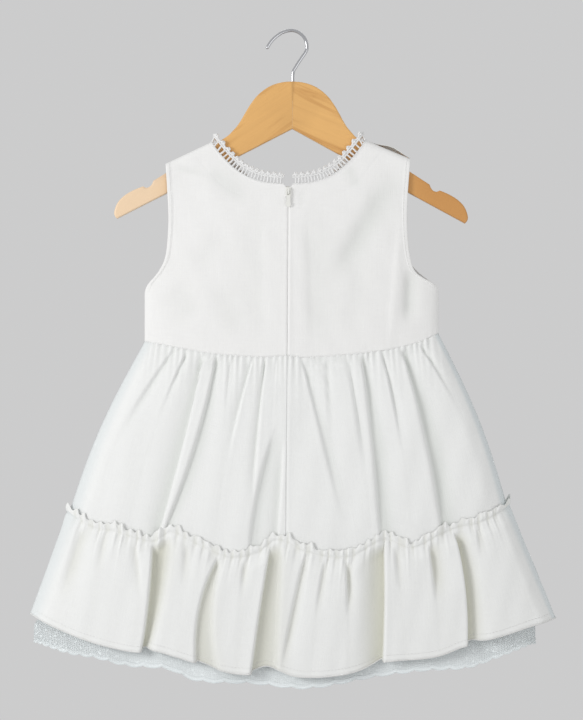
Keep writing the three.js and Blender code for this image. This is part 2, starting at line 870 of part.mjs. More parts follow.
// The lining's own plain tube, which only waves a little towards its hem.
function underskirtPoint(half, angle, share) {
  const sign = Math.sin(angle);
  const widths = sign < 0 ? underskirtWidths.left : underskirtWidths.right;
  const width = lerp(widths.top, widths.bottom, share);
  const x = width * sign;
  const bottomX = widths.bottom * sign;
  const topZ = waistZ(widths.top * sign) - seamGap / 2;
  const wave = (Math.sin(angle * underskirtWaves) - 1) * Math.cos(angle) * smoothstep(share, 0.4, 1);
  const z = lerp(topZ, laceHemZ(bottomX) + laceHeight, share);
  const point = ringPoint(half, x, z, width, underskirtDepth, 0);
  point.y += half.facing * underskirtWave * wave;
  return point;
}

function underskirtRow(half, share) {
  return Array.from({ length: underskirtColumns + 1 }, (_, column) => {
    const angle = lerp(-Math.PI / 2, Math.PI / 2, column / underskirtColumns);
    return underskirtPoint(half, angle, share);
  });
}

const underskirtPin = (column, last) => (column === 0 || column === last ? 'y' : '');

function underskirtPanel(half) {
  const sheet = new Sheet(new THREE.Vector3(0, half.facing, 0));
  const rows = underskirtRows.map((share) =>
    underskirtRow(half, share).map((point, column) => {
      const edgePin = share === 0 || share === 1 ? 'z' : '';
      return sheet.point(point, underskirtPin(column, underskirtColumns) + edgePin);
    }),
  );
  sheet.grid(rows);
  return sheet.wall();
}

// The lace hangs edge to edge below the underskirt, on the same line, and ends in scallops.
function laceEdging(half) {
  const sheet = new Sheet(new THREE.Vector3(0, half.facing, 0));
  const hem = underskirtRow(half, 1);
  const last = underskirtColumns * laceColumnsPerScallop;
  const topRow = [];
  const bottomRow = [];
  for (let column = 0; column <= last; column += 1) {
    const scallop = Math.min(Math.floor(column / laceColumnsPerScallop), underskirtColumns - 1);
    const within = column / laceColumnsPerScallop - scallop;
    const top = hem[scallop].clone().lerp(hem[scallop + 1], within);
    top.z -= seamGap;
    const bottom = top.clone();
    const dip = laceScallop * Math.sin(Math.PI * (within % 1));
    bottom.z = laceHemZ(top.x) - dip;
    bottom.x *= laceSpread;
    topRow.push(sheet.point(top, `${underskirtPin(column, last)}z`));
    bottomRow.push(sheet.point(bottom, underskirtPin(column, last)));
  }
  sheet.grid([topRow, bottomRow]);
  return sheet.wall();
}

function toManifold(geometry) {
  const bare = geometry.clone();
  bare.deleteAttribute('normal');
  bare.deleteAttribute('uv');
  const merged = mergeVertices(bare, 1e-4);
  return new wasm.Manifold(
    new wasm.Mesh({
      numProp: 3,
      vertProperties: new Float32Array(merged.attributes.position.array),
      triVerts: new Uint32Array(merged.index.array),
    }),
  );
}

function fromManifold(solid) {
  const mesh = solid.getMesh();
  const geometry = new THREE.BufferGeometry();
  geometry.setAttribute('position', new THREE.BufferAttribute(new Float32Array(mesh.vertProperties), 3));
  geometry.setIndex(new THREE.BufferAttribute(new Uint32Array(mesh.triVerts), 1));
  return geometry;
}

// One arm of the hanger, drawn from the mitre out to its tip and back, in the hanger's own plane.
function hangerArm(sign) {
  const outline = new THREE.Shape(armOutline.map(({ x, z }) => new THREE.Vector2(x, z)));
  const geometry = new THREE.ExtrudeGeometry(outline, {
    depth: hangerThickness - 2 * hangerBevel,
    bevelThickness: hangerBevel,
    bevelSize: hangerBevel,
    bevelOffset: -hangerBevel,
    bevelSegments: 2,
  });
  geometry.translate(0, 0, hangerBevel - hangerThickness / 2);
  geometry.rotateX(Math.PI / 2);
  if (sign < 0) geometry.rotateZ(Math.PI);
  geometry.translate(0, 0, -crownTopZ);
  const drill = new THREE.CylinderGeometry(hookHoleRadius, hookHoleRadius, 2 * hookHoleDepth, 16);
  drill.rotateX(Math.PI / 2);
  return fromManifold(toManifold(geometry).subtract(toManifold(drill)));
}

// The wire runs up from the crown, leans out, and turns over the rail to a free tip.
function hookWire() {
  const turnZ = wireRadius - hookTurnRadius;
  const turn = [0, 22.5, 45, 67.5, 90].map((degrees) => {
    const angle = THREE.MathUtils.degToRad(degrees);
    return {
      x: hookTurnX + hookTurnRadius * Math.cos(angle),
      z: turnZ + hookTurnRadius * Math.sin(angle),
    };
  });
  const route = [...hookStem, ...turn, ...hookTip].map(({ x, z }) => new THREE.Vector3(x, 0, z));
  const section = new THREE.Shape().absarc(0, 0, wireRadius, 0, 2 * Math.PI);
  return new THREE.ExtrudeGeometry(section, {
    steps: 28,
    curveSegments: 5,
    extrudePath: new THREE.CatmullRomCurve3(route, false, 'centripetal'),
  });
}

function rectangle(width, height, cornerX = 0, cornerY = 0) {
  const shape = new THREE.Shape();
  shape.moveTo(cornerX - width / 2, cornerY - height / 2);
  shape.lineTo(cornerX + width / 2, cornerY - height / 2);
  shape.lineTo(cornerX + width / 2, cornerY + height / 2);
  shape.lineTo(cornerX - width / 2, cornerY + height / 2);
  return shape;
}

// The slider's plate, and the crown over it that the pull's bar passes under.
function zipSlider() {
  const { width, height, plate: thick, bevel } = sliderSize;
  const plate = new THREE.ExtrudeGeometry(rectangle(width - 2 * bevel, height - 2 * bevel), {
    depth: thick - 2 * bevel,
    bevelThickness: bevel,
    bevelSize: bevel,
    bevelSegments: 2,
  });
  plate.translate(0, 0, bevel);
  const rise = crownSize.tunnel + crownSize.strap;
  const profile = rectangle(crownSize.length, rise + crownSize.sunk, 0, (rise - crownSize.sunk) / 2);
  profile.holes.push(rectangle(crownSize.window, crownSize.tunnel, 0, crownSize.tunnel / 2));
  const crown = new THREE.ExtrudeGeometry(profile, { depth: crownSize.width, bevelEnabled: false });
  crown.translate(0, 0, -crownSize.width / 2);
  const along = new THREE.Vector3(0, 1, 0);
  const up = new THREE.Vector3(0, 0, 1);
  const across = new THREE.Vector3(1, 0, 0);
  crown.applyMatrix4(new THREE.Matrix4().makeBasis(along, up, across));
  crown.translate(0, 0, thick);
  return fromManifold(toManifold(plate).add(toManifold(crown)));
}

// The drop-shaped pull, flat in its own plane, with the window that straddles the crown.
function zipPull() {
  const { length, tip, neck, bar, windowHalf, windowEnd, shoulder, sheet } = pullSize;
  const outline = new THREE.Shape();
  outline.moveTo(-neck, bar);
  outline.lineTo(-neck, -windowEnd - shoulder);
  outline.quadraticCurveTo(-neck * 0.7, -length * 0.55, -tip, -length + tip);
  outline.absarc(0, -length + tip, tip, Math.PI, 2 * Math.PI);
  outline.quadraticCurveTo(neck * 0.7, -length * 0.55, neck, -windowEnd - shoulder);
  outline.lineTo(neck, bar);
  outline.holes.push(rectangle(2 * windowHalf, windowEnd - bar, 0, -(windowEnd + bar) / 2));
  const geometry = new THREE.ExtrudeGeometry(outline, {
    depth: sheet,
    bevelEnabled: false,
    curveSegments: 6,
  });
  geometry.translate(0, 0, -sheet / 2);
  return geometry;
}

const { back, front } = halves;

add('bodice_front', bodicePanel(front, ['left', 'right']), 'cloth');
add('bodice_back_left', bodicePanel(back, ['left']), 'cloth');
add('bodice_back_right', bodicePanel(back, ['right']), 'cloth');

add('neck_trim_front', neckTrim(front, ['left', 'right']), 'lace');
add('neck_trim_back_left', neckTrim(back, ['left']), 'lace');
add('neck_trim_back_right', neckTrim(back, ['right']), 'lace');

add('skirt_front', skirtPanel(front, 'whole'), 'cloth');
add('skirt_back_left', skirtPanel(back, 'left'), 'cloth');
add('skirt_back_right', skirtPanel(back, 'right'), 'cloth');

add('tier_front', tierPanel(front), 'cloth');
add('tier_back', tierPanel(back), 'cloth');

add('underskirt_front', underskirtPanel(front), 'lining');
add('underskirt_back', underskirtPanel(back), 'lining');
add('lace_edging_front', laceEdging(front), 'lace');
add('lace_edging_back', laceEdging(back), 'lace');

const hanger = new THREE.Group();
hanger.position.set(hangerCentreX, 0, crownTopZ);
hanger.rotation.y = THREE.MathUtils.degToRad(hangerTilt);
garment.add(hanger);
add('hanger_arm_left', hangerArm(-1), 'wood', hanger);
add('hanger_arm_right', hangerArm(1), 'wood', hanger);
add('hanger_hook', hookWire(), 'chrome');

// The slider lies on the cloth at the top of the zip, leaning with it, and the pull hangs from its crown.
const sliderZ = zipTopZ - sliderDrop;
const clothAt = (z) => bodiceFace(back, zipTopX, z);
const clothSlope = Math.atan2(clothAt(sliderZ - sliderSize.height) - clothAt(sliderZ), sliderSize.height);
const zip = new THREE.Group();
zip.position.set(zipTopX, -(clothAt(sliderZ) + seamGap / 2 + layerGap), sliderZ);
zip.rotation.x = Math.PI / 2 - clothSlope;
garment.add(zip);
add('zip_slider', zipSlider(), 'lacquer', zip);
const pull = add('zip_pull', zipPull(), 'lacquer', zip);
pull.position.z = sliderSize.plate + crownSize.tunnel / 2;

export default garment;
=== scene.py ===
import math
import bmesh
import bpy
import numpy as np
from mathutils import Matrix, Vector


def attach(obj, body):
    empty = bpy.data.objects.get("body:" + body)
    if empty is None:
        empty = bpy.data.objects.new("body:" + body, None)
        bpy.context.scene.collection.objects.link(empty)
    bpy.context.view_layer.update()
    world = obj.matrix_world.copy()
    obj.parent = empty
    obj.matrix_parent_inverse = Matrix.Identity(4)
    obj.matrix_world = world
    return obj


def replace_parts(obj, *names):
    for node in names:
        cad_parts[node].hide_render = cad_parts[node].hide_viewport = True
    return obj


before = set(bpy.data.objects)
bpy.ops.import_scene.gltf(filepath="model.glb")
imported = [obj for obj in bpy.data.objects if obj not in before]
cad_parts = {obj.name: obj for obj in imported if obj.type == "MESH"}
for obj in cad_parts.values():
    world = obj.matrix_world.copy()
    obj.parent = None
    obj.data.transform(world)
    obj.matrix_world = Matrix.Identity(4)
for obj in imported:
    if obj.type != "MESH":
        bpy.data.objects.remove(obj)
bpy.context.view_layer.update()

# A toddler's tiered dress on a wooden hanger, seen from its back, which faces -Y.
# The dress's own lines are in millimetres, and a mesh turns them into metres as it is made.
mm = 0.001
dressBody = "dress_on_hanger"
seamGap = 0.3                     # between the front and the back at the side seams
samePlace = 1e-6                  # metres
signOf = {"left": -1, "right": 1}
facingOf = {"back": -1, "front": 1}


def smooth(value, low, high):
    t = np.clip((value - low) / (high - low), 0, 1)
    return t * t * (3 - 2 * t)


def between(a, b, t):
    return a + (b - a) * t


def bell(distance, width):
    return np.exp(-((distance / width) ** 2))


def follow(rows):
    # a smooth line through pairs of numbers
    xs, ys = np.array(rows, float).T
    before = np.maximum(np.arange(len(xs)) - 1, 0)
    after = np.minimum(np.arange(len(xs)) + 1, len(xs) - 1)
    slopes = (ys[after] - ys[before]) / (xs[after] - xs[before])

    def at(place):
        place = np.clip(place, xs[0], xs[-1])
        i = np.clip(np.searchsorted(xs, place, side="right") - 1, 0, len(xs) - 2)
        span = xs[i + 1] - xs[i]
        t = (place - xs[i]) / span
        rise = ys[i + 1] - ys[i]
        leave = slopes[i] * span - rise
        arrive = rise - slopes[i + 1] * span
        return between(ys[i], ys[i + 1], t) + t * (1 - t) * (leave * (1 - t) + arrive * t)

    return at


def alongCurve(points, share, roundly=True):
    # points at shares of the length of a curve or a polyline
    points = np.array(points, float)
    dense = points
    if roundly:
        ends = np.vstack([points[:1], points, points[-1:]])
        t = np.linspace(0, len(points) - 1, 30 * (len(points) - 1) + 1)
        i = np.minimum(t.astype(int), len(points) - 2)
        w = (t - i)[:, None]
        p0, p1, p2, p3 = ends[i], ends[i + 1], ends[i + 2], ends[i + 3]
        leave, arrive = (p2 - p0) / 2, (p3 - p1) / 2
        dense = (2 * p1 - 2 * p2 + leave + arrive) * w ** 3
        dense += (3 * p2 - 3 * p1 - 2 * leave - arrive) * w ** 2 + leave * w + p1
    steps = np.append(0, np.cumsum(np.linalg.norm(np.diff(dense, axis=0), axis=1)))
    place = np.clip(share, 0, 1) * steps[-1]
    return np.stack([np.interp(place, steps, dense[:, k]) for k in range(dense.shape[1])], axis=-1)


def lengthOf(points):
    return float(np.linalg.norm(np.diff(points, axis=0), axis=1).sum())


def unevenly(place, seed):
    # a slow wander from -1 to 1, the same in every run
    waves = ((0.113, 1.0), (0.271, 2.1), (0.047, 3.7))     # each wave's pace, and its start for a seed of 1
    return sum(np.sin(place * pace + start * seed) for pace, start in waves) / len(waves)


# Nodes

class Wire:
    # a socket that can be used in a formula
    def __init__(self, finish, socket):
        self.finish = finish
        self.socket = socket

    def formula(self, operation, *values):
        sockets = dict(enumerate(values))
        return self.finish.node("ShaderNodeMath", {"operation": operation}, sockets)

    def __add__(self, other):
        return self.formula("ADD", self, other)

    __radd__ = __add__

    def __mul__(self, other):
        return self.formula("MULTIPLY", self, other)

    __rmul__ = __mul__

    def __sub__(self, other):
        return self.formula("SUBTRACT", self, other)

    def __rsub__(self, other):
        return self.formula("SUBTRACT", other, self)

    def __gt__(self, other):
        return self.formula("GREATER_THAN", self, other)

    def atLeast(self, other):
        return self.formula("MAXIMUM", self, other)


class Finish:
    # a material with its shader, and one way to add any other node
    def __init__(self, name, **fixed):
        self.material = bpy.data.materials.new(name)
        self.material.use_nodes = True
        self.tree = self.material.node_tree
        self.shader = self.tree.nodes["Principled BSDF"]
        for socket, value in fixed.items():
            self.shader.inputs[socket.replace("_", " ")].default_value = value

    def plug(self, socket, value):
        if isinstance(value, Wire):
            self.tree.links.new(value.socket, socket)
        elif hasattr(socket, "default_value"):
            socket.default_value = value

    def node(self, kind, settings=None, sockets=None, out=0):
        made = self.tree.nodes.new(kind)
        for setting, value in (settings or {}).items():
            if setting == "stops":
                ramp = made.color_ramp.elements
                while len(ramp) < len(value):
                    ramp.new(0.5)
                for stop, (place, colour) in zip(ramp, value):
                    stop.position = place
                    stop.color = (*colour, 1)
            else:
                setattr(made, setting, value)
        for socket, value in (sockets or {}).items():
            self.plug(made.inputs[socket], value)
        return Wire(self, made.outputs[out])

    def place(self, name="cut"):
        # where a point is on the flat cloth, or in the wood
        return self.node("ShaderNodeAttribute", {"attribute_name": name}, out="Vector")

    def worn(self, name):
        return self.node("ShaderNodeAttribute", {"attribute_name": name}, out="Fac")

    def noise(self, where, scale, detail=3.0, roughness=0.5, distortion=0.0):
        if isinstance(scale, tuple):       # another scale along each axis
            where = self.node("ShaderNodeVectorMath", {"operation": "MULTIPLY"}, {0: where, 1: scale})
            scale = 1.0
        sockets = {"Vector": where, "Scale": scale, "Detail": detail, "Roughness": roughness}
        return self.node("ShaderNodeTexNoise", sockets={**sockets, "Distortion": distortion})

    def mixed(self, share, first, second):
        first, second = ((*side, 1) if isinstance(side, tuple) else side for side in (first, second))
        return self.node("ShaderNodeMix", {"data_type": "RGBA"}, {0: share, 6: first, 7: second}, out=2)

    def bump(self, height, distance, strength):
        sockets = {"Strength": strength, "Distance": distance, "Height": height}
        self.plug(self.shader.inputs["Normal"], self.node("ShaderNodeBump", sockets=sockets))

    def set(self, **sockets):
        for socket, value in sockets.items():
            self.plug(self.shader.inputs[socket.replace("_", " ")], value)


# Meshes

def setMarks(mesh, marks):
    # numbers or vectors kept on the points, which a finish reads
    for mark, values in marks.items():
        values = np.asarray(values, np.float32)
        isVector = values.ndim == 2
        layer = mesh.attributes.new(mark, "FLOAT_VECTOR" if isVector else "FLOAT", "POINT")
        layer.data.foreach_set("vector" if isVector else "value", values.ravel())


def placed(name, mesh, finish):
    mesh.shade_smooth()
    mesh.materials.append(finish.material)
    piece = bpy.data.objects.new(name, mesh)
    bpy.context.scene.collection.objects.link(piece)
    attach(piece, dressBody)
    return piece


def meshObject(name, points, faces, finish, marks=None):
    mesh = bpy.data.meshes.new(name)
    mesh.from_pydata((np.asarray(points) * mm).tolist(), [], faces)
    setMarks(mesh, marks or {})
    return placed(name, mesh, finish)


def gridFaces(rows, columns, first=0, around=False):
    index = np.arange(rows * columns).reshape(rows, columns) + first
    if around:
        index = np.hstack([index, index[:, :1]])
    return np.stack([index[:-1, :-1], index[:-1, 1:], index[1:, 1:], index[1:, :-1]], axis=-1).reshape(-1, 4)


def clothPiece(name, grid, facing, thickness, finish):
    # a grid of points with its marks becomes one thin shell, whose outer side is the grid
    points = grid["points"]
    rows, columns = points.shape[:2]
    faces = gridFaces(rows, columns)
    if "seam" in grid:
        faces = faces[faces[:, 0] % columns != grid["seam"]]
    flatPoints = points.reshape(-1, 3)
    a, b, c = (flatPoints[faces[:, k]] for k in (0, 1, 2))
    if np.cross(b - a, c - a)[:, 1].sum() * facing < 0:
        faces = faces[:, ::-1]
    across = np.cumsum(np.linalg.norm(np.diff(points, axis=1, prepend=points[:, :1]), axis=2), axis=1)
    down = np.cumsum(np.linalg.norm(np.diff(points, axis=0, prepend=points[:1]), axis=2), axis=0)
    weave = grid.get("weave", np.broadcast_arrays(across.mean(axis=0), down.mean(axis=1)[:, None]))
    marks = {"cut": np.stack([*weave, np.zeros_like(across)], axis=-1).reshape(-1, 3) * mm}
    marks.update({mark: values.ravel() for mark, values in grid["marks"].items()})
    piece = meshObject(name, flatPoints, faces.tolist(), finish, marks)
    if "seam" in grid:
        shape = bmesh.new()
        shape.from_mesh(piece.data)
        bmesh.ops.remove_doubles(shape, verts=shape.verts, dist=samePlace)
        shape.to_mesh(piece.data)
        shape.free()
    shell = piece.modifiers.new("thickness", "SOLIDIFY")
    shell.thickness = thickness * mm
    shell.offset = -1
    shell.use_even_offset = False
    size = (float(across[:, -1].mean()) * mm, float(down[-1].mean()) * mm)
    print(name, "cut", round(size[0], 3), "x", round(size[1], 3), "points", len(flatPoints))
    return piece


def panel(node, cloth, grid, thickness, finish):
    # a cut piece of cloth that stands for its CAD node
    facing = facingOf["back" if "back" in node else "front"]
    piece = clothPiece(f"{node}_{cloth}", grid, facing, thickness, finish)
    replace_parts(piece, node)
    return piece


def tube(path, radius, sides):
    # points and faces of rings round a path, with a frame carried along it
    path = np.asarray(path, float)
    radius = np.broadcast_to(np.asarray(radius, float), len(path))
    tangent = np.gradient(path, axis=0)
    tangent /= np.linalg.norm(tangent, axis=1)[:, None]
    side = np.cross(tangent[0], [0.3, 0.2, 0.93])      # no path starts out in this direction
    normals = [side / np.linalg.norm(side)]
    for t in tangent[1:]:
        side = normals[-1] - t * normals[-1].dot(t)
        normals.append(side / np.linalg.norm(side))
    normals = np.array(normals)
    others = np.cross(tangent, normals)
    angle = np.linspace(0, 2 * math.pi, sides, endpoint=False)
    ring = normals[:, None] * np.cos(angle)[None, :, None] + others[:, None] * np.sin(angle)[None, :, None]
    points = (path[:, None] + ring * radius[:, None, None]).reshape(-1, 3)
    faces = gridFaces(len(path), sides, around=True)[:, ::-1].tolist()
    faces.append(list(range(sides)))
    faces.append(list(range(len(points) - sides, len(points)))[::-1])
    return points, faces


def ball(centre, radius, sides=7, rings=5):
    up = np.linspace(-math.pi / 2, math.pi / 2, rings)
    path = np.stack([np.zeros(rings), np.zeros(rings), np.sin(up) * radius], axis=-1) + centre
    return tube(path, np.maximum(np.cos(up), 0.05) * radius, sides)     # the poles stay a little open


def joined(name, shapes, finish):
    # many small shapes as one mesh
    points, faces, first = [], [], 0
    for shapePoints, shapeFaces in shapes:
        points.append(shapePoints)
        faces.extend([[first + corner for corner in face] for face in shapeFaces])
        first += len(shapePoints)
    return meshObject(name, np.concatenate(points), faces, finish)


stitch = {"pitch": 2.6, "length": 1.9, "thread": 0.16, "sides": 5, "start": 0.1}
stitchArc = np.array([(0, -0.1), (0.2, 0.1), (0.5, 0.16), (0.8, 0.1), (1, -0.1)])      # along it, and out


def stitches(path, outward, size=stitch):
    # short lengths of thread, that dip into the cloth at both ends
    count = int(lengthOf(path) / size["pitch"])
    made = []
    for number in range(count):
        shares = (stitchArc[:, 0] * size["length"] / size["pitch"] + number + size["start"]) / count
        places = alongCurve(path, shares, roundly=False)
        made.append(tube(places + np.asarray(outward) * stitchArc[:, 1:], size["thread"], size["sides"]))
    return made


# Finishes

def toned(colour, share):
    return tuple(channel * share for channel in colour)


clothColours = {
    "white": (0.975, 0.972, 0.96),
    "skirt": (0.96, 0.967, 0.955),
    "tier": (0.955, 0.963, 0.95),
    "creaseShade": (0.70, 0.725, 0.69),
    "pleatShade": (0.68, 0.68, 0.595),
    "rim": (0.85, 0.90, 0.91),
    "lining": (0.86, 0.89, 0.885),
    "liningShade": (0.74, 0.78, 0.78),
    "lace": (0.94, 0.99, 1.0),
    "cotton": (0.95, 0.95, 0.945),
    "thread": (0.93, 0.93, 0.915),
}
clothLook = {
    "yarns": 2400.0,              # to the metre
    "yarnRun": 60.0,
    "slubs": (420.0, 14.0, 1.0),
    "crumples": 34.0,
    "clouds": 9.0,
    "cloudTone": 0.975,
    "slubTone": 0.93,
    "yarnTone": 0.9,
    "relief": 0.0011,
    "sheer": 0.14,
}


def clothFinish(name, colour, shade, slubs, sheer=0.0):
    # plain weave with slubs, soft crumples, painted shade in the folds, and sheer sides without lining
    finish = Finish(name, Roughness=0.88, Sheen_Weight=0.18, Sheen_Roughness=0.5, Specular_IOR_Level=0.2)
    colour, shade = clothColours[colour], clothColours[shade]
    cut = finish.place()
    warp = finish.noise(cut, (clothLook["yarns"], clothLook["yarnRun"], 1.0), 1.0)
    weft = finish.noise(cut, (clothLook["yarnRun"], clothLook["yarns"], 1.0), 1.0)
    slub = finish.noise(cut, clothLook["slubs"], 2.0)
    soft = finish.noise(cut, clothLook["crumples"], 3.0, 0.55, 0.4)
    slow = finish.noise(cut, clothLook["clouds"], 2.0)
    tone = finish.mixed(slow, colour, toned(colour, clothLook["cloudTone"]))
    tone = finish.mixed(slub * slubs, tone, toned(colour, clothLook["slubTone"]))
    tone = finish.mixed((warp + weft) * 0.5, tone, toned(colour, clothLook["yarnTone"]))
    # painted shade: the fold mark mixes the shade colour into creases, pleats and hollows
    tone = finish.mixed(finish.worn("fold"), tone, shade)
    if sheer:
        rim = finish.worn("rim")
        tone = finish.mixed(rim, tone, clothColours["rim"])
        finish.set(Alpha=1 - rim * sheer)
    finish.set(Base_Color=tone, Roughness=0.82 + soft * 0.12)
    finish.bump(warp * 0.22 + weft * 0.22 + slub * 0.1 + soft * 0.16, clothLook["relief"], 0.6)
    return finish


laceLook = {"meshes": 640.0, "flowers": 118.0, "petals": 330.0, "netTone": 0.9, "clearest": 0.8}


def laceFinish(name, colour):
    # a net of small meshes with denser leaves and flowers worked into it
    finish = Finish(name, Roughness=0.85, Sheen_Weight=0.4, Sheen_Roughness=0.6)
    cut = finish.place()

    def cells(feature, scale, randomness, low, high):
        sockets = {"Vector": cut, "Scale": scale, "Randomness": randomness}
        distance = finish.node("ShaderNodeTexVoronoi", {"feature": feature}, sockets)
        return 1 - finish.node("ShaderNodeMapRange", sockets={0: distance, 1: low, 2: high})

    net = cells("DISTANCE_TO_EDGE", laceLook["meshes"], 0.45, 0.06, 0.16)
    flowers = cells("F1", laceLook["flowers"], 0.55, 0.3, 0.42)
    petals = cells("F1", laceLook["petals"], 0.8, 0.32, 0.5)
    cover = net.atLeast(flowers * petals).atLeast(finish.worn("fold"))
    clear = finish.worn("rim") * (1 - cover) * laceLook["clearest"]
    tone = finish.mixed(cover, toned(colour, laceLook["netTone"]), colour)
    finish.set(Base_Color=tone, Alpha=(0.98 + cover * 0.02) * (1 - clear))
    finish.bump(cover, 0.0004, 0.5)
    return finish


def cottonFinish(name, colour, twist):
    # twisted cotton yarn
    finish = Finish(name, Roughness=0.8, Sheen_Weight=0.2)
    where = finish.node("ShaderNodeTexCoord", out="Object")
    sockets = {"Vector": where, "Scale": twist, "Distortion": 2.0, "Detail": 1.0}
    ply = finish.node("ShaderNodeTexWave", {"bands_direction": "DIAGONAL"}, sockets)
    fuzz = finish.noise(where, 900.0, 2.0)
    finish.set(Base_Color=finish.mixed(ply * 0.5 + fuzz * 0.3, colour, toned(colour, 0.9)))
    finish.bump(ply * 0.6 + fuzz * 0.4, 0.00025, 0.7)
    return finish


wood = {
    "light": (0.89, 0.515, 0.175),
    "dark": (0.62, 0.30, 0.08),
    # painted light for the left arm's tip, then painted shade for the right arm's tip
    "pale": (0.95, 0.76, 0.56),
    "deep": (0.52, 0.205, 0.035),
    "figure": (7.0, 90.0, 60.0),
    "fine": (45.0, 900.0, 500.0),
    "pores": (120.0, 2600.0, 900.0),
    "clouds": 11.0,
}


def woodFinish(name):
    # varnished pale wood, its grain running slantwise down each arm, with painted light towards the left
    # arm's tip and painted shade towards the right arm's tip
    finish = Finish(name, Coat_Weight=0.35, Coat_Roughness=0.22)
    light, dark = wood["light"], wood["dark"]
    where = finish.place("grain")
    figure = finish.noise(where, wood["figure"], 4.0, 0.6, 0.9)
    fine = finish.noise(where, wood["fine"])
    pores = finish.noise(where, wood["pores"], 1.0)
    slow = finish.noise(where, wood["clouds"], 2.0)
    stops = [(0.3, dark), (0.46, light), (0.62, toned(light, 1.06)), (0.78, dark)]
    tone = finish.node("ShaderNodeValToRGB", {"stops": stops}, {0: figure})
    tone = finish.mixed(fine * 0.22, tone, dark)
    tone = finish.mixed(slow * 0.3, tone, toned(dark, 0.8))
    # painted light, painted shade, and the dark joint line
    for mark, stain in (("pale", wood["pale"]), ("deep", wood["deep"]), ("edge", toned(dark, 0.45))):
        tone = finish.mixed(finish.worn(mark), tone, stain)
    finish.set(Base_Color=tone, Roughness=0.34 + fine * 0.16)
    finish.bump(pores * 0.4 + fine * 0.3, 0.0002, 0.35)
    return finish


chrome = {"bright": (0.62, 0.63, 0.65), "dull": (0.5, 0.5, 0.52), "drawMarks": (900.0, 900.0, 90.0)}


def chromeFinish(name):
    # plated wire, with a few fine draw marks
    finish = Finish(name, Metallic=1.0, Roughness=0.12)
    where = finish.node("ShaderNodeTexCoord", out="Object")
    marks = finish.noise(where, chrome["drawMarks"], 2.0)
    dull = finish.noise(where, 70.0, 2.0)
    tone = finish.mixed(dull, chrome["bright"], chrome["dull"])
    finish.set(Base_Color=tone, Roughness=0.09 + marks * 0.1 + dull * 0.05)
    finish.bump(marks, 0.00005, 0.3)
    return finish


lacquer = {"white": (0.86, 0.86, 0.82), "bare": (0.5, 0.5, 0.48), "chipsAbove": 0.72}


def lacquerFinish(name):
    # white lacquer over die-cast metal, thin in places
    finish = Finish(name, Roughness=0.3, Coat_Weight=0.3)
    where = finish.node("ShaderNodeTexCoord", out="Object")
    speck = finish.noise(where, 600.0)
    chips = finish.noise(where, 1500.0, 2.0) > lacquer["chipsAbove"]
    tone = finish.mixed(chips, lacquer["white"], lacquer["bare"])
    finish.set(Base_Color=tone, Roughness=0.26 + speck * 0.16, Metallic=chips * 0.6)
    finish.bump(speck, 0.00008, 0.4)
    return finish


bodiceCloth = clothFinish("bodice cotton", "white", "creaseShade", 0.35)
skirtCloth = clothFinish("skirt voile", "skirt", "creaseShade", 0.5, clothLook["sheer"])
tierCloth = clothFinish("tier voile", "tier", "pleatShade", 0.5, clothLook["sheer"])
liningCloth = clothFinish("underskirt lining", "lining", "liningShade", 0.2)
laceCloth = laceFinish("hem lace", clothColours["lace"])
cottonYarn = cottonFinish("neck trim cotton", clothColours["cotton"], 900.0)
laceYarn = cottonFinish("lace cord", clothColours["lace"], 1100.0)
sewingThread = cottonFinish("sewing thread", clothColours["thread"], 1600.0)
armWood = woodFinish("hanger wood")
chromedWire = chromeFinish("chromed wire")
zipLacquer = lacquerFinish("zip lacquer")
print("finishes made")


# The dress's lines, seen from behind: across and up

waistLine = [(-128.2, -270.3), (-100, -275.6), (-75, -280.2), (-50, -283), (-21, -284.4), (-4, -283),
             (10, -284.6), (44, -282.6), (78, -278.8), (97, -275), (113, -270.4), (128.2, -263)]
tierSeamLine = [(-195, -418.5), (-170, -431), (-152, -434), (-139, -438.5), (-119, -442.5), (-104, -434.5),
                (-80, -445.5), (-54, -456), (-30, -452.5), (-12, -441), (12, -451), (49, -456), (80, -441),
                (104, -448), (128, -437), (146, -430), (163, -426.5), (189, -413)]
tierHemLine = [(-227.2, -506), (-199, -519.7), (-169, -531), (-134, -538.5), (-122, -536.5), (-82, -548),
               (-60, -555), (-37, -557.5), (-20, -553), (5, -559.5), (41, -558.3), (71, -551), (80, -547),
               (125, -542.3), (152, -532.5), (180, -525.3), (207, -516.5), (230, -510)]
laceHemLine = [(-222, -530), (-192, -539), (-170, -542.5), (-142, -549.5), (-108, -552), (-82, -562),
               (-36, -564.5), (14, -568.5), (66, -560), (113, -553.5), (153, -551), (177, -543), (208, -531)]

waistZ = follow(waistLine)
seamZ = follow(tierSeamLine)
hemZ = follow(tierHemLine)
laceHemZ = follow(laceHemLine)


def sectionDepth(share):
    # the flattened round of the hanging dress, seen from above
    return np.maximum(1 - share ** 2, 0) ** 0.3


# Bodice

bodice = {
    "sideX": 128.2,
    "depth": 17.0,
    "shoulderDepth": 8.6,
    "shoulderRounding": 8.0,
    "shoulderReach": 90.0,
    "centreTop": -2.7,
    "centreWaist": -3.6,
    "thickness": 0.7,
    "bindingWidth": 4.3,
    "stitchInset": 1.0,
    "stitchFrom": 0.33,
    "facingDepth": 17.0,
    "underarmShare": 0.3,
    "armholeShare": 0.62,
    "backArmholeStep": 0.03,
    "waistTuck": 0.45,
    "seamApart": 0.04,
    "peek": (88.0, 12.0, 4.2),        # the front shows over the right shoulder: where, how wide, how high
}
bodiceRelief = {
    "binding": 0.45,
    "bindingGroove": 0.2,
    "waistPucker": 0.3,
    "waistGroove": 0.15,
    "neckRoll": 0.3,
    "facingEdge": 0.13,
    "seamGroove": {"left": 0.55, "right": 0.3},
    "seamRoll": {"left": 0.12, "right": 0.4},
    "unevenness": (0.3, 0.12),
}
neckShape = {
    "back": {"bottom": -133.4, "power": 2.8, "notch": 3.6, "seamTop": -138.0},
    "front": {"bottom": -151.0, "power": 2.3, "notch": 0.0, "seamTop": -151.0},
}
neckPoints = {"left": (-70.6, -96.3), "right": (65.3, -94.6)}
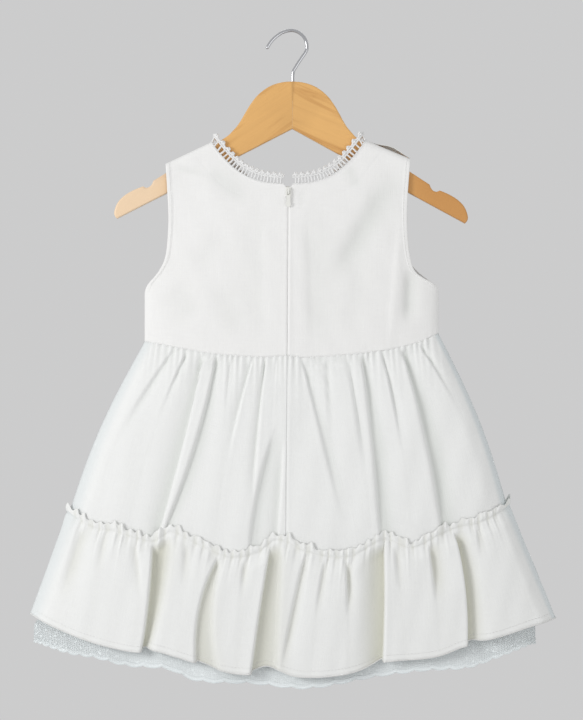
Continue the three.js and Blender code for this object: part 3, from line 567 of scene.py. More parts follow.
armholes = {
    ("back", "left"): [(-128.2, -227), (-125, -220), (-116, -209.4), (-109.7, -196), (-107.3, -173),
                       (-107.3, -153), (-109.6, -114.7)],
    ("back", "right"): [(128.2, -223), (123, -219), (108, -209.5), (102.6, -193), (100.6, -168),
                        (101.2, -141), (103.6, -110.6)],
    ("front", "left"): [(-128.2, -227), (-124, -220.5), (-112, -210), (-104.5, -195), (-102, -173),
                        (-103.5, -150), (-109.6, -114.7)],
    ("front", "right"): [(128.2, -223), (125.5, -220), (110, -208), (101, -194), (97.5, -168),
                         (98.5, -141), (103.6, -110.6)],
}

# creases: from x z, to x z, depth pressed in, width on the left, width on the right
bodiceCreases = {
    "back": [
        (-100.4, -119, -76, -125, 1.3, 2.5, 4),
        (-72, -121, -40, -147, 1.9, 6, 9),
        (50, -117, 58, -135, 1.8, 6, 4),
        (88, -126, 42, -210, 3.0, 9, 12),
        (95, -165, 86, -272, -0.9, 3, 5),
        (102, -208, 101, -250, 3.2, 4, 8),
        (15, -158, 20, -275, 1.4, 5, 20),
        (8.3, -138, 9.5, -152, 0.9, 3, 3.5),
        (-104, -222, -84, -250, 1.1, 12, 12),
        (-62, -222, -44, -264, 0.9, 12, 12),
        (-30, -150, -26, -270, 0.8, 16, 6),
        (60, -200, 52, -262, 0.7, 8, 10),
        (-60, -172, -80, -206, 0.6, 9, 9),
    ],
    "front": [
        (-82, -128, -52, -186, 1.8, 8, 12),
        (86, -126, 52, -176, 1.6, 10, 8),
        (-96, -204, -102, -258, 2.0, 6, 11),
        (62, -226, 96, -212, 1.3, 9, 7),
        (-20, -210, -30, -268, 0.6, 8, 8),
        (30, -196, 38, -262, 0.6, 8, 9),
        (-48, -200, -58, -252, 0.5, 7, 7),
    ],
}


def shoulderZ(x):
    left, right = neckPoints["left"], neckPoints["right"]
    leftTip, rightTip = armholes["back", "left"][-1], armholes["back", "right"][-1]
    shareLeft = np.clip((x - left[0]) / (leftTip[0] - left[0]), 0, 1.3)
    shareRight = np.clip((x - right[0]) / (rightTip[0] - right[0]), 0, 1.3)
    onLeft = between(left[1], leftTip[1], shareLeft)
    return np.where(x < 0, onLeft, between(right[1], rightTip[1], shareRight))


def creasePress(half, x, z):
    press = np.zeros_like(x)
    for fromX, fromZ, toX, toZ, depth, leftWidth, rightWidth in bodiceCreases[half]:
        alongX, alongZ = toX - fromX, toZ - fromZ
        length = math.hypot(alongX, alongZ)
        share = ((x - fromX) * alongX + (z - fromZ) * alongZ) / length ** 2
        across = ((z - fromZ) * alongX - (x - fromX) * alongZ) / length
        fade = smooth(share, -0.15, 0.3) * (1 - smooth(share, 0.7, 1.15))
        press += depth * fade * bell(across, np.where(across < 0, leftWidth, rightWidth))
    return press


def bodiceDepth(half, x, z):
    # flat over the hanger, and full below it
    drop = np.maximum(shoulderZ(x) - z, 0)
    rounding = bodice["shoulderRounding"]
    overHanger = bodice["shoulderDepth"] * np.cbrt(1 - (1 - np.minimum(drop / rounding, 1)) ** 3)
    body = bodice["depth"] * sectionDepth(np.clip(x / bodice["sideX"], -1, 1))
    share = smooth(drop, rounding, bodice["shoulderReach"])
    return np.maximum(between(overHanger, body, share) - creasePress(half, x, z) * share, 0)


def neckCurve(half, side):
    # from the middle, or from the notch over the zip, up to the shoulder
    shape, shoulder = neckShape[half], neckPoints[side]
    centre = bodice["centreTop"]
    turn = np.sin(np.linspace(0, 1, 25) * math.pi / 2) ** 1.1
    x = between(centre + signOf[side] * shape["notch"], shoulder[0], turn)
    reach = np.clip((x - centre) / (shoulder[0] - centre), 0, 1)
    return np.stack([x, between(shape["bottom"], shoulder[1], reach ** shape["power"])], axis=-1)


def bodiceEdge(half, side, share):
    # up the side seam, then round the armhole to the shoulder
    armhole, underarm = armholes[half, side], bodice["underarmShare"]
    sideX = signOf[side] * bodice["sideX"]
    upSide = between(waistZ(sideX), armhole[0][1], share / underarm)
    seam = np.stack([np.full_like(share, sideX), upSide], axis=-1)
    rest = alongCurve(armhole, (share - underarm) / (1 - underarm))
    return np.where((share <= underarm)[:, None], seam, rest)


def bodiceRise(half, side, x, z, above, fromEdge, onArmhole, fromSeam):
    # binding, puckers over the waist seam, the neck's facing, the centre seam, and soft unevenness
    size, width = bodiceRelief, bodice["bindingWidth"]
    binding = 1 - smooth(fromEdge, width - 0.5, width + 0.3)
    rise = size["binding"] * binding * (1 - 0.7 * bell(fromEdge, 0.5)) * onArmhole
    rise -= size["bindingGroove"] * bell(fromEdge - width + bodice["stitchInset"], 0.35) * onArmhole
    pucker = np.sin(x * 1.21 + 1.6 * unevenly(x, 1.7)) * (0.6 + 0.4 * unevenly(x * 2, 0.4))
    rise += size["waistPucker"] * pucker * np.exp(-above / 6) - size["waistGroove"] * bell(above, 0.8)
    neck = alongCurve(neckCurve(half, side), np.linspace(0, 1, 80))
    fromNeck = np.hypot(x[..., None] - neck[:, 0], z[..., None] - neck[:, 1]).min(axis=-1)
    rise += size["neckRoll"] * (1 - smooth(fromNeck, 0, 1.6)) * smooth(fromNeck, -1, 0.4)
    rise -= size["facingEdge"] * bell(fromNeck - bodice["facingDepth"] - 1.2 * unevenly(x, 2.2), 0.9)
    if half == "back":
        belowNeck = slice(bodiceRows["low"] - 1)
        fromSeam = fromSeam[belowNeck]
        rise[belowNeck] += size["seamRoll"][side] * bell(fromSeam - 2.0, 1.2)
        rise[belowNeck] -= size["seamGroove"][side] * bell(fromSeam, 0.8)
    slow, quick = size["unevenness"]
    return rise + slow * unevenly(x * 0.9 + z * 0.5, 3.1) + quick * unevenly(z * 1.3 - x * 0.5, 5.3)


# columns and rows stand closer together along the seam, the armhole and the neck
bodiceColumns = np.concatenate([
    np.linspace(0, 0.02, 6)[:-1],
    np.linspace(0.02, 0.94, 66)[:-1],
    np.linspace(0.94, 1, 20),
])
bodiceRows = {"low": 52, "round": 34, "top": 8}


def bodiceGrid(half, side):
    isBack = half == "back"
    lowShares = np.linspace(0, 1, bodiceRows["low"])
    highShares = np.linspace(0, 1, bodiceRows["round"]) ** 0.8
    highShares = np.concatenate([highShares[:-1], np.linspace(highShares[-2], 1, bodiceRows["top"])[1:]])
    armholeStart = bodice["armholeShare"]
    centreLow = np.array([bodice["centreWaist"], waistZ(bodice["centreWaist"])])
    centreHigh = np.array([bodice["centreTop"], neckShape[half]["seamTop"]])
    innerLow = between(centreLow, centreHigh, lowShares[:, None])
    if isBack:
        innerLow = innerLow + [signOf[side] * bodice["seamApart"], 0]
        armholeStart += bodice["backArmholeStep"]
    else:
        highShares = highShares[1:]
    inner = np.vstack([innerLow, alongCurve(neckCurve(half, side), highShares)])
    outerShares = np.concatenate([lowShares * bodice["armholeShare"], between(armholeStart, 1, highShares)])
    outer = bodiceEdge(half, side, outerShares)
    u = bodiceColumns[None, :]
    x = between(inner[:, :1], outer[:, :1], u)
    z = between(inner[:, 1:], outer[:, 1:], u)
    waistShare = np.concatenate([lowShares, np.ones(len(highShares))])[:, None]
    straight = between(centreLow[1], waistZ(signOf[side] * bodice["sideX"]), u)
    z = z + (waistZ(x) + bodice["waistTuck"] - straight) * (1 - smooth(waistShare, 0, 0.3))
    above = np.maximum(z - waistZ(x), 0)
    fromEdge = np.hypot(x - outer[:, :1], z - outer[:, 1:])
    onArmhole = smooth(outerShares, bodice["underarmShare"], bodice["underarmShare"] + 0.02)[:, None]
    depth = bodiceDepth(half, x, z)
    rise = bodiceRise(half, side, x, z, above, fromEdge, onArmhole, np.abs(x - inner[:, :1]))
    depth = np.maximum(depth + rise * smooth(depth, 0, 3), 0)
    peekX, peekWidth, peekHeight = bodice["peek"]
    peek = bell(x - peekX, peekWidth) * smooth(z, -135, -112) * (not isBack) * (side == "right")
    z = z + peekHeight * peek
    # painted shade in the creases, a little just above the waist seam, and on the front's strip that shows
    # over the right shoulder
    fold = np.clip(creasePress(half, x, z) * 0.14, 0, 0.5) + 0.04 * np.exp(-above / 2) + 0.5 * peek
    return {
        "points": np.stack([x, facingOf[half] * (seamGap / 2 + depth), z], axis=-1),
        "marks": {"fold": fold},
        "weave": [x, z],                # a flat panel on the straight grain
        "outer": outer,
        "outerShares": outerShares,
    }


def besideEachOther(left, right):
    # the halves are one piece up to the neck, and part round it
    def beside(one, other):
        return np.concatenate([one[:, ::-1], other], axis=1)

    return {
        "points": beside(left["points"], right["points"]),
        "marks": {"fold": beside(left["marks"]["fold"], right["marks"]["fold"])},
        "weave": [beside(one, other) for one, other in zip(left["weave"], right["weave"])],
        "seam": left["points"].shape[1] - 1,
    }


bodiceGrids = {key: bodiceGrid(*key) for key in armholes}
frontGrid = besideEachOther(bodiceGrids["front", "left"], bodiceGrids["front", "right"])
bodicePanels = {
    "front": ("bodice_front", frontGrid, (0.265, 0.175), ["hanger_arm_left", "hanger_arm_right"]),
    "left": ("bodice_back_left", bodiceGrids["back", "left"], (0.13, 0.175), ["hanger_arm_left"]),
    "right": ("bodice_back_right", bodiceGrids["back", "right"], (0.135, 0.175), ["hanger_arm_right"]),
}
bodicePieces = {
    side: panel(node, "cloth", grid, bodice["thickness"], bodiceCloth)
    for side, (node, grid, flat, carriers) in bodicePanels.items()
}

armholeStitches = []
for (half, side), grid in bodiceGrids.items():
    rows = np.flatnonzero(grid["outerShares"] > bodice["stitchFrom"])
    outer = grid["outer"][rows]
    lines = grid["points"][rows]
    fromEdge = np.hypot(lines[..., 0] - outer[:, :1], lines[..., 2] - outer[:, 1:])
    column = np.abs(fromEdge - bodice["bindingWidth"] + bodice["stitchInset"]).argmin(axis=1)
    path = lines[np.arange(len(rows)), column]
    armholeStitches += stitches(path[:-3], (0, facingOf[half], 0))
joined("armhole_stitches", armholeStitches, sewingThread)
print("bodice made")


# Neck trim: a ladder lace with picots

trim = {
    "rail": 0.95,
    "railDrop": 0.5,
    "ladderTop": 6.5,
    "band": 7.6,
    "bandRise": 1.1,
    "barPitch": 3.3,
    "picotTop": 9.1,
    "picotPitch": 5.9,
    "knots": 5,
    "knotRing": 0.95,
    "intoCloth": 0.35,
    "yarns": {"rail": 0.7, "ladderTop": 0.85, "bar": 0.82, "band": 0.95, "knot": 1.2},
}


def trimPlaces(half, side, share, height):
    neck = neckCurve(half, side)
    edge = alongCurve(neck, share)
    ahead = alongCurve(neck, np.minimum(share + 0.01, 1)) - alongCurve(neck, np.maximum(share - 0.01, 0))
    ahead /= np.linalg.norm(ahead, axis=1)[:, None]
    inward = np.stack([-ahead[:, 1], ahead[:, 0]], axis=-1)
    inward *= np.where(inward[:, 1:] < 0, -1, 1)
    lean = np.array([-signOf[side] * 0.4, 0.92])          # at the shoulder it stands up along the hanger
    inward = between(inward, lean, smooth(share, 0.8, 1)[:, None])
    inward /= np.linalg.norm(inward, axis=1)[:, None]
    place = edge + inward * np.asarray(height).reshape(-1, 1)
    depth = seamGap / 2 + bodiceDepth(half, edge[:, 0], edge[:, 1]) - trim["intoCloth"]
    return np.stack([place[:, 0], facingOf[half] * depth, place[:, 1]], axis=-1)


def trimShapes(half, side):
    yarns = trim["yarns"]
    length = lengthOf(neckCurve(half, side))
    fine = np.linspace(0, 1, 90)
    wobble = 0.12 * unevenly(fine * length * 3, 1.1)
    lines = (("rail", trim["rail"] - trim["railDrop"]), ("ladderTop", trim["ladderTop"]))
    shapes = [tube(trimPlaces(half, side, fine, height + wobble), yarns[yarn], 7) for yarn, height in lines]
    barShares = np.linspace(0, 1, int(length / trim["barPitch"]))
    bars = np.cumsum(np.interp(barShares, [0, 0.55, 1], [3.0, 3.2, 4.3]))        # wider apart at the shoulder
    bars = bars / (bars[-1] + 1.5)
    heights = np.linspace(trim["rail"], trim["ladderTop"], 6)
    for bar, share in enumerate(bars):
        lean = 0.25 * math.sin(bar * 2.3) / length
        shares = np.clip(share + lean * np.linspace(-1, 1, 6), 0, 1)
        radius = yarns["bar"] + 0.1 * math.sin(bar * 1.7)
        shapes.append(tube(trimPlaces(half, side, shares, heights), radius, 6))
    picots = int(round(length / trim["picotPitch"]))
    scallop = np.linspace(0, 1, picots * 10 + 1)
    arch = trim["band"] + trim["bandRise"] * np.abs(np.sin(scallop * picots * math.pi))
    shapes.append(tube(trimPlaces(half, side, scallop, arch), yarns["band"], 7))
    tops = (np.arange(picots) + 0.5) / picots
    centres = trimPlaces(half, side, tops, np.full(picots, trim["picotTop"]))
    for picot, centre in enumerate(centres):
        for knot in range(trim["knots"]):
            angle = knot * 2 * math.pi / trim["knots"] + picot
            ring = np.array([math.cos(angle), 0.5 * math.sin(angle * 2), math.sin(angle)])
            shapes.append(ball(centre + ring * trim["knotRing"], yarns["knot"]))
    return shapes


trimPieces = {
    "neck_trim_front": ("neck_trim_front_cotton", trimShapes("front", "left") + trimShapes("front", "right")),
    "neck_trim_back_left": ("neck_trim_left_cotton", trimShapes("back", "left")),
    "neck_trim_back_right": ("neck_trim_right_cotton", trimShapes("back", "right")),
}
for node, (name, shapes) in trimPieces.items():
    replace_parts(joined(name, shapes, cottonYarn), node)
print("neck trim made")


# Skirt

skirt = {
    "waistDepth": 17.0,
    "seamDepth": 28.0,
    "seamFoot": -4.8,
    "bulge": 5.6,
    "fullness": 3.2,
    "footFullness": 0.45,             # the share of it that the tier's seam takes back
    "gather": (0.9, 0.45),
    "gatherReach": 0.085,
    "unevenness": 0.7,
    "tucked": (1.5, 0.7, 0),          # the seam allowance goes up inside the bodice
    "tuckDepth": 0.95,
    "lap": 3.0,
    "thickness": 0.35,
    "depth": 0.62,
    "rise": 0.05,
    "topWidth": 0.5,
    "tail": 1.3,
    "lip": 0.05,
    "overlap": 0.16,
    "shade": 0.55,
    "floorShade": 0.6,
    "left": (128.2, 194.0),
    "right": (128.2, 188.0),
}

# folds: x at the top, middle and bottom, depth, width on the left and right, flat floor at the top
# and bottom, shares where it begins and fades
skirtFolds = {
    "back": [
        (-100.8, -142, -179, 3.4, 3, 7, 0, 0, 0, 0.5),
        (-90.3, -117, -143, 3.8, 2, 5, 0, 0, 0, 0.34),
        (-76.5, -91.7, -117, 6.6, 12, 2, 0, 3, 0, 1),
        (-65.2, -78.6, -109.5, 5.6, 2.6, 11, 0, 0, 0, 1),
        (-52.5, -57, -62, 2.6, 2, 5, 0, 0, 0, 0.3),
        (-33.9, -53.4, -66.5, 4.0, 6, 2, 0, 0, 0, 0.5),
        (-22.6, -30.8, -36.9, 5.0, 4, 2, 0, 0, 0, 0.72),
        (-13.5, -17, -20, 2.6, 3, 1.6, 0, 0, 0, 0.2),
        (16, -18.7, -34.5, 4.6, 2.8, 11, 0, 5, 0.34, 1),
        (-7, -8.4, -13.4, 4.6, 9, 1.8, 0, 2, 0.42, 1),
        (9.6, 31.3, 51.7, 3.7, 2.6, 10, 0, 0, 0, 0.8),
        (29.1, 34.3, 40, 3.2, 2, 6, 0, 0, 0, 0.4),
        (47.4, 59.5, 70, 3.4, 1.8, 5, 0, 0, 0, 0.62),
        (61.3, 70, 79, 6.4, 3.2, 11, 0, 5, 0, 1),
        (78.6, 93.4, 107, 4.2, 2, 5, 0, 0, 0, 0.5),
        (96, 114.7, 132.5, 7.4, 3.4, 13, 0, 4, 0, 1),
        (110.8, 148, 180, 3.6, 2, 6, 0, 0, 0, 0.36),
    ],
    "front": [
        (-114, -142, -168, 4.0, 7, 2.4, 0, 0, 0, 0.8),
        (-95, -112, -134, 6.2, 2.2, 10, 0, 3, 0, 1),
        (-78, -98, -116, 3.4, 5, 2, 0, 0, 0, 0.5),
        (-60, -74, -92, 6.4, 2, 9, 0, 2, 0, 1),
        (-41, -50, -58, 3.6, 5, 2, 0, 0, 0, 0.6),
        (-24, -32, -38, 5.2, 8, 2.2, 0, 0, 0, 0.9),
        (-5, -5, -4, 3.2, 2, 6, 0, 0, 0, 0.45),
        (13, 17, 24, 6.0, 2.2, 9, 0, 3, 0, 1),
        (31, 38, 46, 3.4, 6, 2, 0, 0, 0, 0.55),
        (50, 62, 78, 5.6, 2, 8, 0, 0, 0, 1),
        (69, 86, 103, 3.4, 5, 2, 0, 0, 0, 0.6),
        (88, 106, 130, 6.6, 9, 2.2, 0, 3, 0, 1),
        (110, 138, 162, 4.2, 2, 7, 0, 0, 0, 0.7),
    ],
}


def sideWidth(widths, x, share, bulge=0.0):
    left = between(*widths["left"], share)
    right = between(*widths["right"], share)
    return np.where(x < 0, left, right) + bulge * np.sin(math.pi * share)


foldForm = {
    "fades": (0.3, 0.05, 0.94),       # how far before and after its end a fold dies away, and by how much
    "fullWidthAt": 0.55,
    "lipPlace": 1.6,
    "lipWidth": 1.1,
    "slidesFrom": 2.5,
    "fullShadeDepth": 7.0,                   # the depth at which a fold's painted shade is full
    "sharpShade": 0.6,
    "leadsColumns": (0.55, 0.2),      # a fold that fades later and begins sooner runs along the columns
}


def foldPress(folds, x, share, form):
    # how deep the cloth is pressed in, how far it slides sideways, and how much painted shade the fold gets
    press, slide, dark = np.zeros_like(x), np.zeros_like(x), np.zeros_like(x)
    before, after, faded = foldForm["fades"]
    grown = between(form["topWidth"], 1, smooth(share, 0, foldForm["fullWidthAt"]))
    for top, middle, bottom, depth, leftWidth, rightWidth, floorTop, floorBottom, begins, fades in folds:
        bend = 2 * top + 2 * bottom - 4 * middle
        centre = between(top, bottom, share) - bend * share * (1 - share)
        strength = smooth(share, begins, begins + form["rise"] + 0.5 * begins)
        if fades < 1:
            strength = strength * (1 - faded * smooth(share, fades - before, fades + after))
        steep = -1 if leftWidth < rightWidth else 1
        sharp, soft = min(leftWidth, rightWidth) * grown, max(leftWidth, rightWidth) * grown
        away = (centre - x) * steep
        floor = between(floorTop, floorBottom, share)
        past = np.maximum(away - floor, 0)
        section = np.where(away < 0, bell(away, sharp), np.exp(-((past / soft) ** form["tail"])))
        lip = bell(away + foldForm["lipPlace"] * sharp, foldForm["lipWidth"] * sharp)
        press += depth * strength * (form["depth"] * section - form["lip"] * lip)
        slide -= steep * form["overlap"] * np.maximum(depth - foldForm["slidesFrom"], 0) * strength * lip
        # painted shade: darkest at the steep side, fading across the floor and the soft side
        onFloor = floor * form["floorShade"]
        deep = bell(np.maximum(away - onFloor * 0.3, 0), soft * form["shade"] + onFloor)
        shade = np.where(away < 0, bell(away, sharp * foldForm["sharpShade"]), deep)
        dark += strength * depth / foldForm["fullShadeDepth"] * shade
    return press, slide, dark


def columnTops(folds, bottoms, widths, edges):
    # where the columns that reach the lower edge at these places start at the upper one
    marks = list(edges)
    for side, sign in signOf.items():
        for turn in np.sin(np.radians([90, 84, 76])):
            marks.append((sign * widths[side][1] * turn, sign * widths[side][0] * turn))
    late, soon = foldForm["leadsColumns"]
    for top, _, bottom, *_, begins, fades in folds:
        if fades > late and begins < soon:
            marks.append((bottom, top))
    marks = np.array(sorted(marks))
    return np.interp(bottoms, marks[:, 0], marks[:, 1])


def sheerSide(across, start, full):
    # the unlined strip at each side, wider and fainter on the left
    left = 0.6 * smooth(-across, start - 0.035, full)
    return np.where(across < 0, left, smooth(across, start, full))


def ringPoints(half, x, z, width, depth, out):
    share = np.clip(x / width, -1, 1)
    stand = depth * sectionDepth(share)
    rise = np.sqrt(np.maximum(1 - share ** 2, 0)) / depth
    normal = np.stack([share / width, rise], axis=-1)
    normal /= np.linalg.norm(normal, axis=-1)[..., None]
    y = facingOf[half] * np.maximum(seamGap / 2 + stand + normal[..., 1] * out, 0.12)
    return np.stack([x + normal[..., 0] * out, y, z], axis=-1)


def skirtGrid(half, bottoms, centreSign=0):
    folds = skirtFolds[half]
    seamTop, seamFoot = bodice["centreWaist"], skirt["seamFoot"]
    tops = columnTops(folds, bottoms, skirt, [(seamFoot, seamTop)])
    share = np.concatenate([[0, 0], np.linspace(0, 0.14, 16)[:-1], np.linspace(0.14, 1, 54)])[:, None]
    tucked = np.zeros_like(share)
    tucked[:3, 0] = skirt["tucked"]
    x = between(tops[None, :], bottoms[None, :], share)
    straight = sideWidth(skirt, x, share)
    width = sideWidth(skirt, x, share, skirt["bulge"])
    sideFade = 1 - smooth(np.abs(x / straight), 0.9, 1)
    press, slide, dark = foldPress(folds, x, share, skirt)
    gather = np.sin(x * 1.18 + 2.2 * unevenly(x, 0.7)) * (0.62 + 0.38 * unevenly(x * 2.3, 1.9))
    low = np.exp(-share / skirt["gatherReach"])
    out = skirt["fullness"] * smooth(share, 0, 0.16) - press
    out = out * (1 - skirt["footFullness"] * smooth(share, 0.85, 1))
    out += (skirt["gather"][0] * gather + skirt["gather"][1]) * low
    out += skirt["unevenness"] * unevenly(x * 0.9 + share * 30, 2.6) * smooth(share, 0.05, 0.3)
    out = np.maximum(out * sideFade, -(1.6 + 9.6 * share)) - skirt["tuckDepth"] * (tucked > 0)
    z = between(waistZ(tops)[None, :], seamZ(bottoms)[None, :], share) - skirt["lap"] * smooth(share, 0.97, 1)
    z = z + tucked + 0.35 * (1 - smooth(share, 0, 0.02))
    depth = between(skirt["waistDepth"], skirt["seamDepth"], share ** 0.8)
    across = (x + slide * sideFade * smooth(share, 0, 0.1)) / straight * width
    points = ringPoints(half, across, z, width, depth, out)
    if centreSign:         # a back half, rolled in at the centre seam
        column = 0 if centreSign > 0 else -1
        points[:, column, 0] = between(seamTop, seamFoot, share[:, 0]) + centreSign * 0.02
        away = np.abs(x - x[:, [column]])
        points[..., 1] += 0.2 * bell(away, 1.3) - (0.2 if centreSign > 0 else 0.0) * bell(away - 2.4, 1.4)
    # painted shade in the folds and in the hollows of the gathers under the waist seam
    fold = np.clip(dark * 0.7 + 0.3 * low * (gather < -0.2), 0, 1) * sideFade
    return {"points": points, "marks": {"fold": fold, "rim": sheerSide(x / straight, 0.962, 0.985)}}


leftBottoms = np.linspace(-skirt["left"][1], skirt["seamFoot"], 176)
rightBottoms = np.linspace(skirt["seamFoot"], skirt["right"][1], 180)
allBottoms = np.append(leftBottoms[:-1], rightBottoms)
skirtPanels = {
    "left": ("back_left", skirtGrid("back", leftBottoms, -1), (0.24, 0.17)),
    "right": ("back_right", skirtGrid("back", rightBottoms, 1), (0.24, 0.17)),
    "front": ("front", skirtGrid("front", allBottoms), (0.48, 0.17)),
}
for side, (place, grid, flat) in skirtPanels.items():
    panel(
        f"skirt_{place}", "voile", grid, skirt["thickness"], skirtCloth,
    )
print("skirt made")


# Tier: a gathered flounce with a frilled heading

tier = {
    "seamDepth": 29.2,
    "hemDepth": 31.0,
    "lift": 0.2,
    "fullness": 4.2,
    "headingHeight": 10.0,
    "headingFlare": 1.5,
    # painted shade laid evenly over the heading
    "headingShade": 0.03,
    "frillPitch": 8.2,
    "frillSeed": {"back": 0.8, "front": 2.9},
    "curl": 0.35,
    "pucker": 1.3,
    "unevenness": 0.5,
    "hemRoll": 0.5,
    "pulledUp": 3.2,                  # how much the hem rises in a deep fold
    "deepest": -10.6,
    "columns": {"back": 640, "front": 440},
    "thickness": 0.4,
    "depth": 1.0,
    "rise": 0.07,
    "topWidth": 0.8,
    "tail": 1.7,
    "lip": 0.04,
    "overlap": 0.3,
    "shade": 0.7,
    "floorShade": 0.85,
    "left": (195.5, 227.2),
    "right": (190.0, 230.0),
}
tierFolds = {
    "back": [
        (-178, -192, -205, 2.6, 4, 9, 0, 0, 0, 0.7),
        (-160, -168, -176, 1.8, 4, 5, 0, 0, 0, 0.4),
        (-136, -131, -130, 1.9, 5, 3, 0, 0, 0, 0.5),
        (-120, -122.5, -129, 8, 2, 6, 12, 1, 0, 1),
        (-90, -94, -98, 2.2, 3, 6, 0, 0, 0, 0.4),
        (-61, -78, -81.5, 5.2, 2, 3, 0, 15, 0, 1),
        (-40, -43, -46, 3.2, 3, 5, 0, 0, 0, 0.34),
        (-17, -26, -33.7, 6.5, 2.2, 2.8, 7, 18, 0, 1),
        (13, 2, -8, 2.8, 2, 5, 0, 0, 0, 0.95),
        (30, 22, 17, 2.4, 2, 5, 0, 0, 0, 0.5),
        (48, 50, 50, 4.6, 2.4, 5, 0, 0, 0, 0.5),
        (79.5, 80, 78.5, 7.5, 15, 1.8, 4, 3, 0, 1),
        (90, 95, 99, 2.2, 3, 5, 0, 0, 0, 0.4),
        (119, 126, 129, 5.2, 2.8, 11, 0, 0, 0, 0.55),
        (140.5, 151, 153, 7.5, 2, 9, 1, 3, 0, 1),
        (160, 168, 176, 3.0, 2.4, 6, 0, 0, 0, 0.3),
    ],
    "front": [
        (-172, -184, -196, 3.6, 8, 3, 0, 0, 0, 0.8),
        (-143, -155, -166, 8.5, 2, 9, 2, 2, 0, 1),
        (-112, -120, -128, 3.6, 7, 2.4, 0, 0, 0, 0.7),
        (-84, -92, -98, 9, 2.2, 8, 2, 8, 0, 1),
        (-52, -55, -56, 4, 3, 8, 0, 0, 0, 0.8),
        (-20, -26, -28, 9, 9, 2.2, 2, 4, 0, 1),
        (11, 13, 14, 3.4, 6, 2.4, 0, 0, 0, 0.6),
        (44, 48, 50, 9, 2.2, 8, 3, 6, 0, 1),
        (78, 84, 88, 4, 7, 2.4, 0, 0, 0, 0.8),
        (108, 119, 130, 8.5, 9, 2.2, 2, 3, 0, 1),
        (146, 160, 172, 3.6, 2.4, 8, 0, 0, 0, 0.7),
    ],
}


def skirtUnder(half, x, width):
    # how far the skirt's lower edge stands out below the tier's seam
    skirtWidth = sideWidth(skirt, x, np.ones_like(x))
    skirtX = x * skirtWidth / width
    press = foldPress(skirtFolds[half], skirtX, np.ones_like(x), skirt)[0]
    out = (skirt["fullness"] - press) * (1 - skirt["footFullness"])
    return np.maximum(out, tier["deepest"]) * (1 - smooth(np.abs(skirtX / skirtWidth), 0.9, 1))


def tierGrid(half):
    folds = tierFolds[half]
    bottoms = np.linspace(-tier["left"][1], tier["right"][1], tier["columns"][half])
    tops = columnTops(folds, bottoms, tier, [])
    heading = np.linspace(1, 0, 13)[:-1]
    body = np.concatenate([np.linspace(0, 0.14, 9)[:-1], np.linspace(0.14, 1, 34)])
    share = np.concatenate([0 * heading, body])[:, None]
    lift = np.concatenate([heading, 0 * body])[:, None]
    x = between(tops[None, :], bottoms[None, :], share)
    width = sideWidth(tier, x, share)
    sideFade = 1 - smooth(np.abs(x / width), 0.93, 1)
    press, slide, dark = foldPress(folds, x, share, tier)
    start = smooth(share, 0.01, 0.14)
    seed = tier["frillSeed"][half]
    turn = 2 * math.pi * tops[None, :] / tier["frillPitch"] + 2.6 * unevenly(tops * 1.3, seed)[None, :]
    tall = (0.7 + 0.34 * unevenly(tops * 3.4, seed + 1))[None, :]
    frill = np.sin(turn) + 0.35 * np.sin(2.3 * turn + 1)
    out = skirtUnder(half, x, width) * (1 - smooth(share, 0, 0.15))
    out += tier["lift"] + (tier["fullness"] - press) * start * sideFade
    out += np.sin(lift * 0.93 * math.pi) * tier["headingFlare"] * (0.56 + 0.44 * frill) * tall
    out -= 0.25 * bell(lift, 0.09) * bell(share, 0.012)                # the gathering stitches
    pucker = frill * np.clip(tall * 1.9 - 0.75, 0.1, 1.2)
    out += tier["pucker"] * pucker * (lift == 0) * np.exp(-share / 0.09) * smooth(share, 0, 0.03)
    out += tier["unevenness"] * unevenly(x * 1.1 + share * 24, seed + 2) * smooth(share, 0.1, 0.3)
    out += tier["hemRoll"] * smooth(share, 0.975, 1)
    z = between(seamZ(tops)[None, :], hemZ(bottoms)[None, :], share)
    jagged = 0.86 + 0.13 * np.sin(turn + 1.2) + 0.1 * np.sin(turn * 0.43 + 2)
    z = z + lift * tier["headingHeight"] * tall * jagged
    z = z + tier["pulledUp"] * np.clip(dark, 0, 1) * smooth(share, 0.85, 1)
    depth = between(tier["seamDepth"], tier["hemDepth"], share)
    curl = tier["curl"] * np.cos(turn) * lift * tall
    points = ringPoints(half, x + slide * sideFade * start + curl, z, width, depth, out)
    # painted shade in the folds and pleats, in the frill's hollows, along the gathering stitches, and a faint
    # even share over the heading
    shade = np.clip(dark * 0.95, 0, 1) * start * sideFade
    shade = shade + 0.36 * smooth(-frill, -0.1, 0.9) * np.exp(-share / 0.05) * (1 - 0.6 * lift)
    shade = shade + 0.12 * bell(lift, 0.08) * bell(share, 0.01) + tier["headingShade"] * smooth(lift, 0.1, 0.4)
    rim = sheerSide(x / width, between(0.955, 0.975, share), 0.99) * (lift < 0.2)
    return {"points": points, "marks": {"fold": np.clip(shade, 0, 1), "rim": rim}}


tierGrids = {half: tierGrid(half) for half in ("back", "front")}
for half, grid in tierGrids.items():
    flat = (0.56, 0.115)
    panel(f"tier_{half}", "voile", grid, tier["thickness"], tierCloth)

hem = {"radius": 0.5, "inset": 0.1, "stitchRow": -3, "stitchOut": 0.05}
hemStitch = {**stitch, "pitch": 3.0, "length": 2.1, "thread": 0.15}
hemShapes = []
for half, grid in tierGrids.items():
    outward = np.array([0, facingOf[half], 0])
    hemShapes.append(tube((grid["points"][-1] - outward * hem["inset"])[1:-1], hem["radius"], 6))
    stitchLine = grid["points"][hem["stitchRow"]] + outward * hem["stitchOut"]
    hemShapes += stitches(stitchLine[6:-6], outward, hemStitch)
joined("rolled_hem", hemShapes, sewingThread)
print("tier made")


# Underskirt and its lace

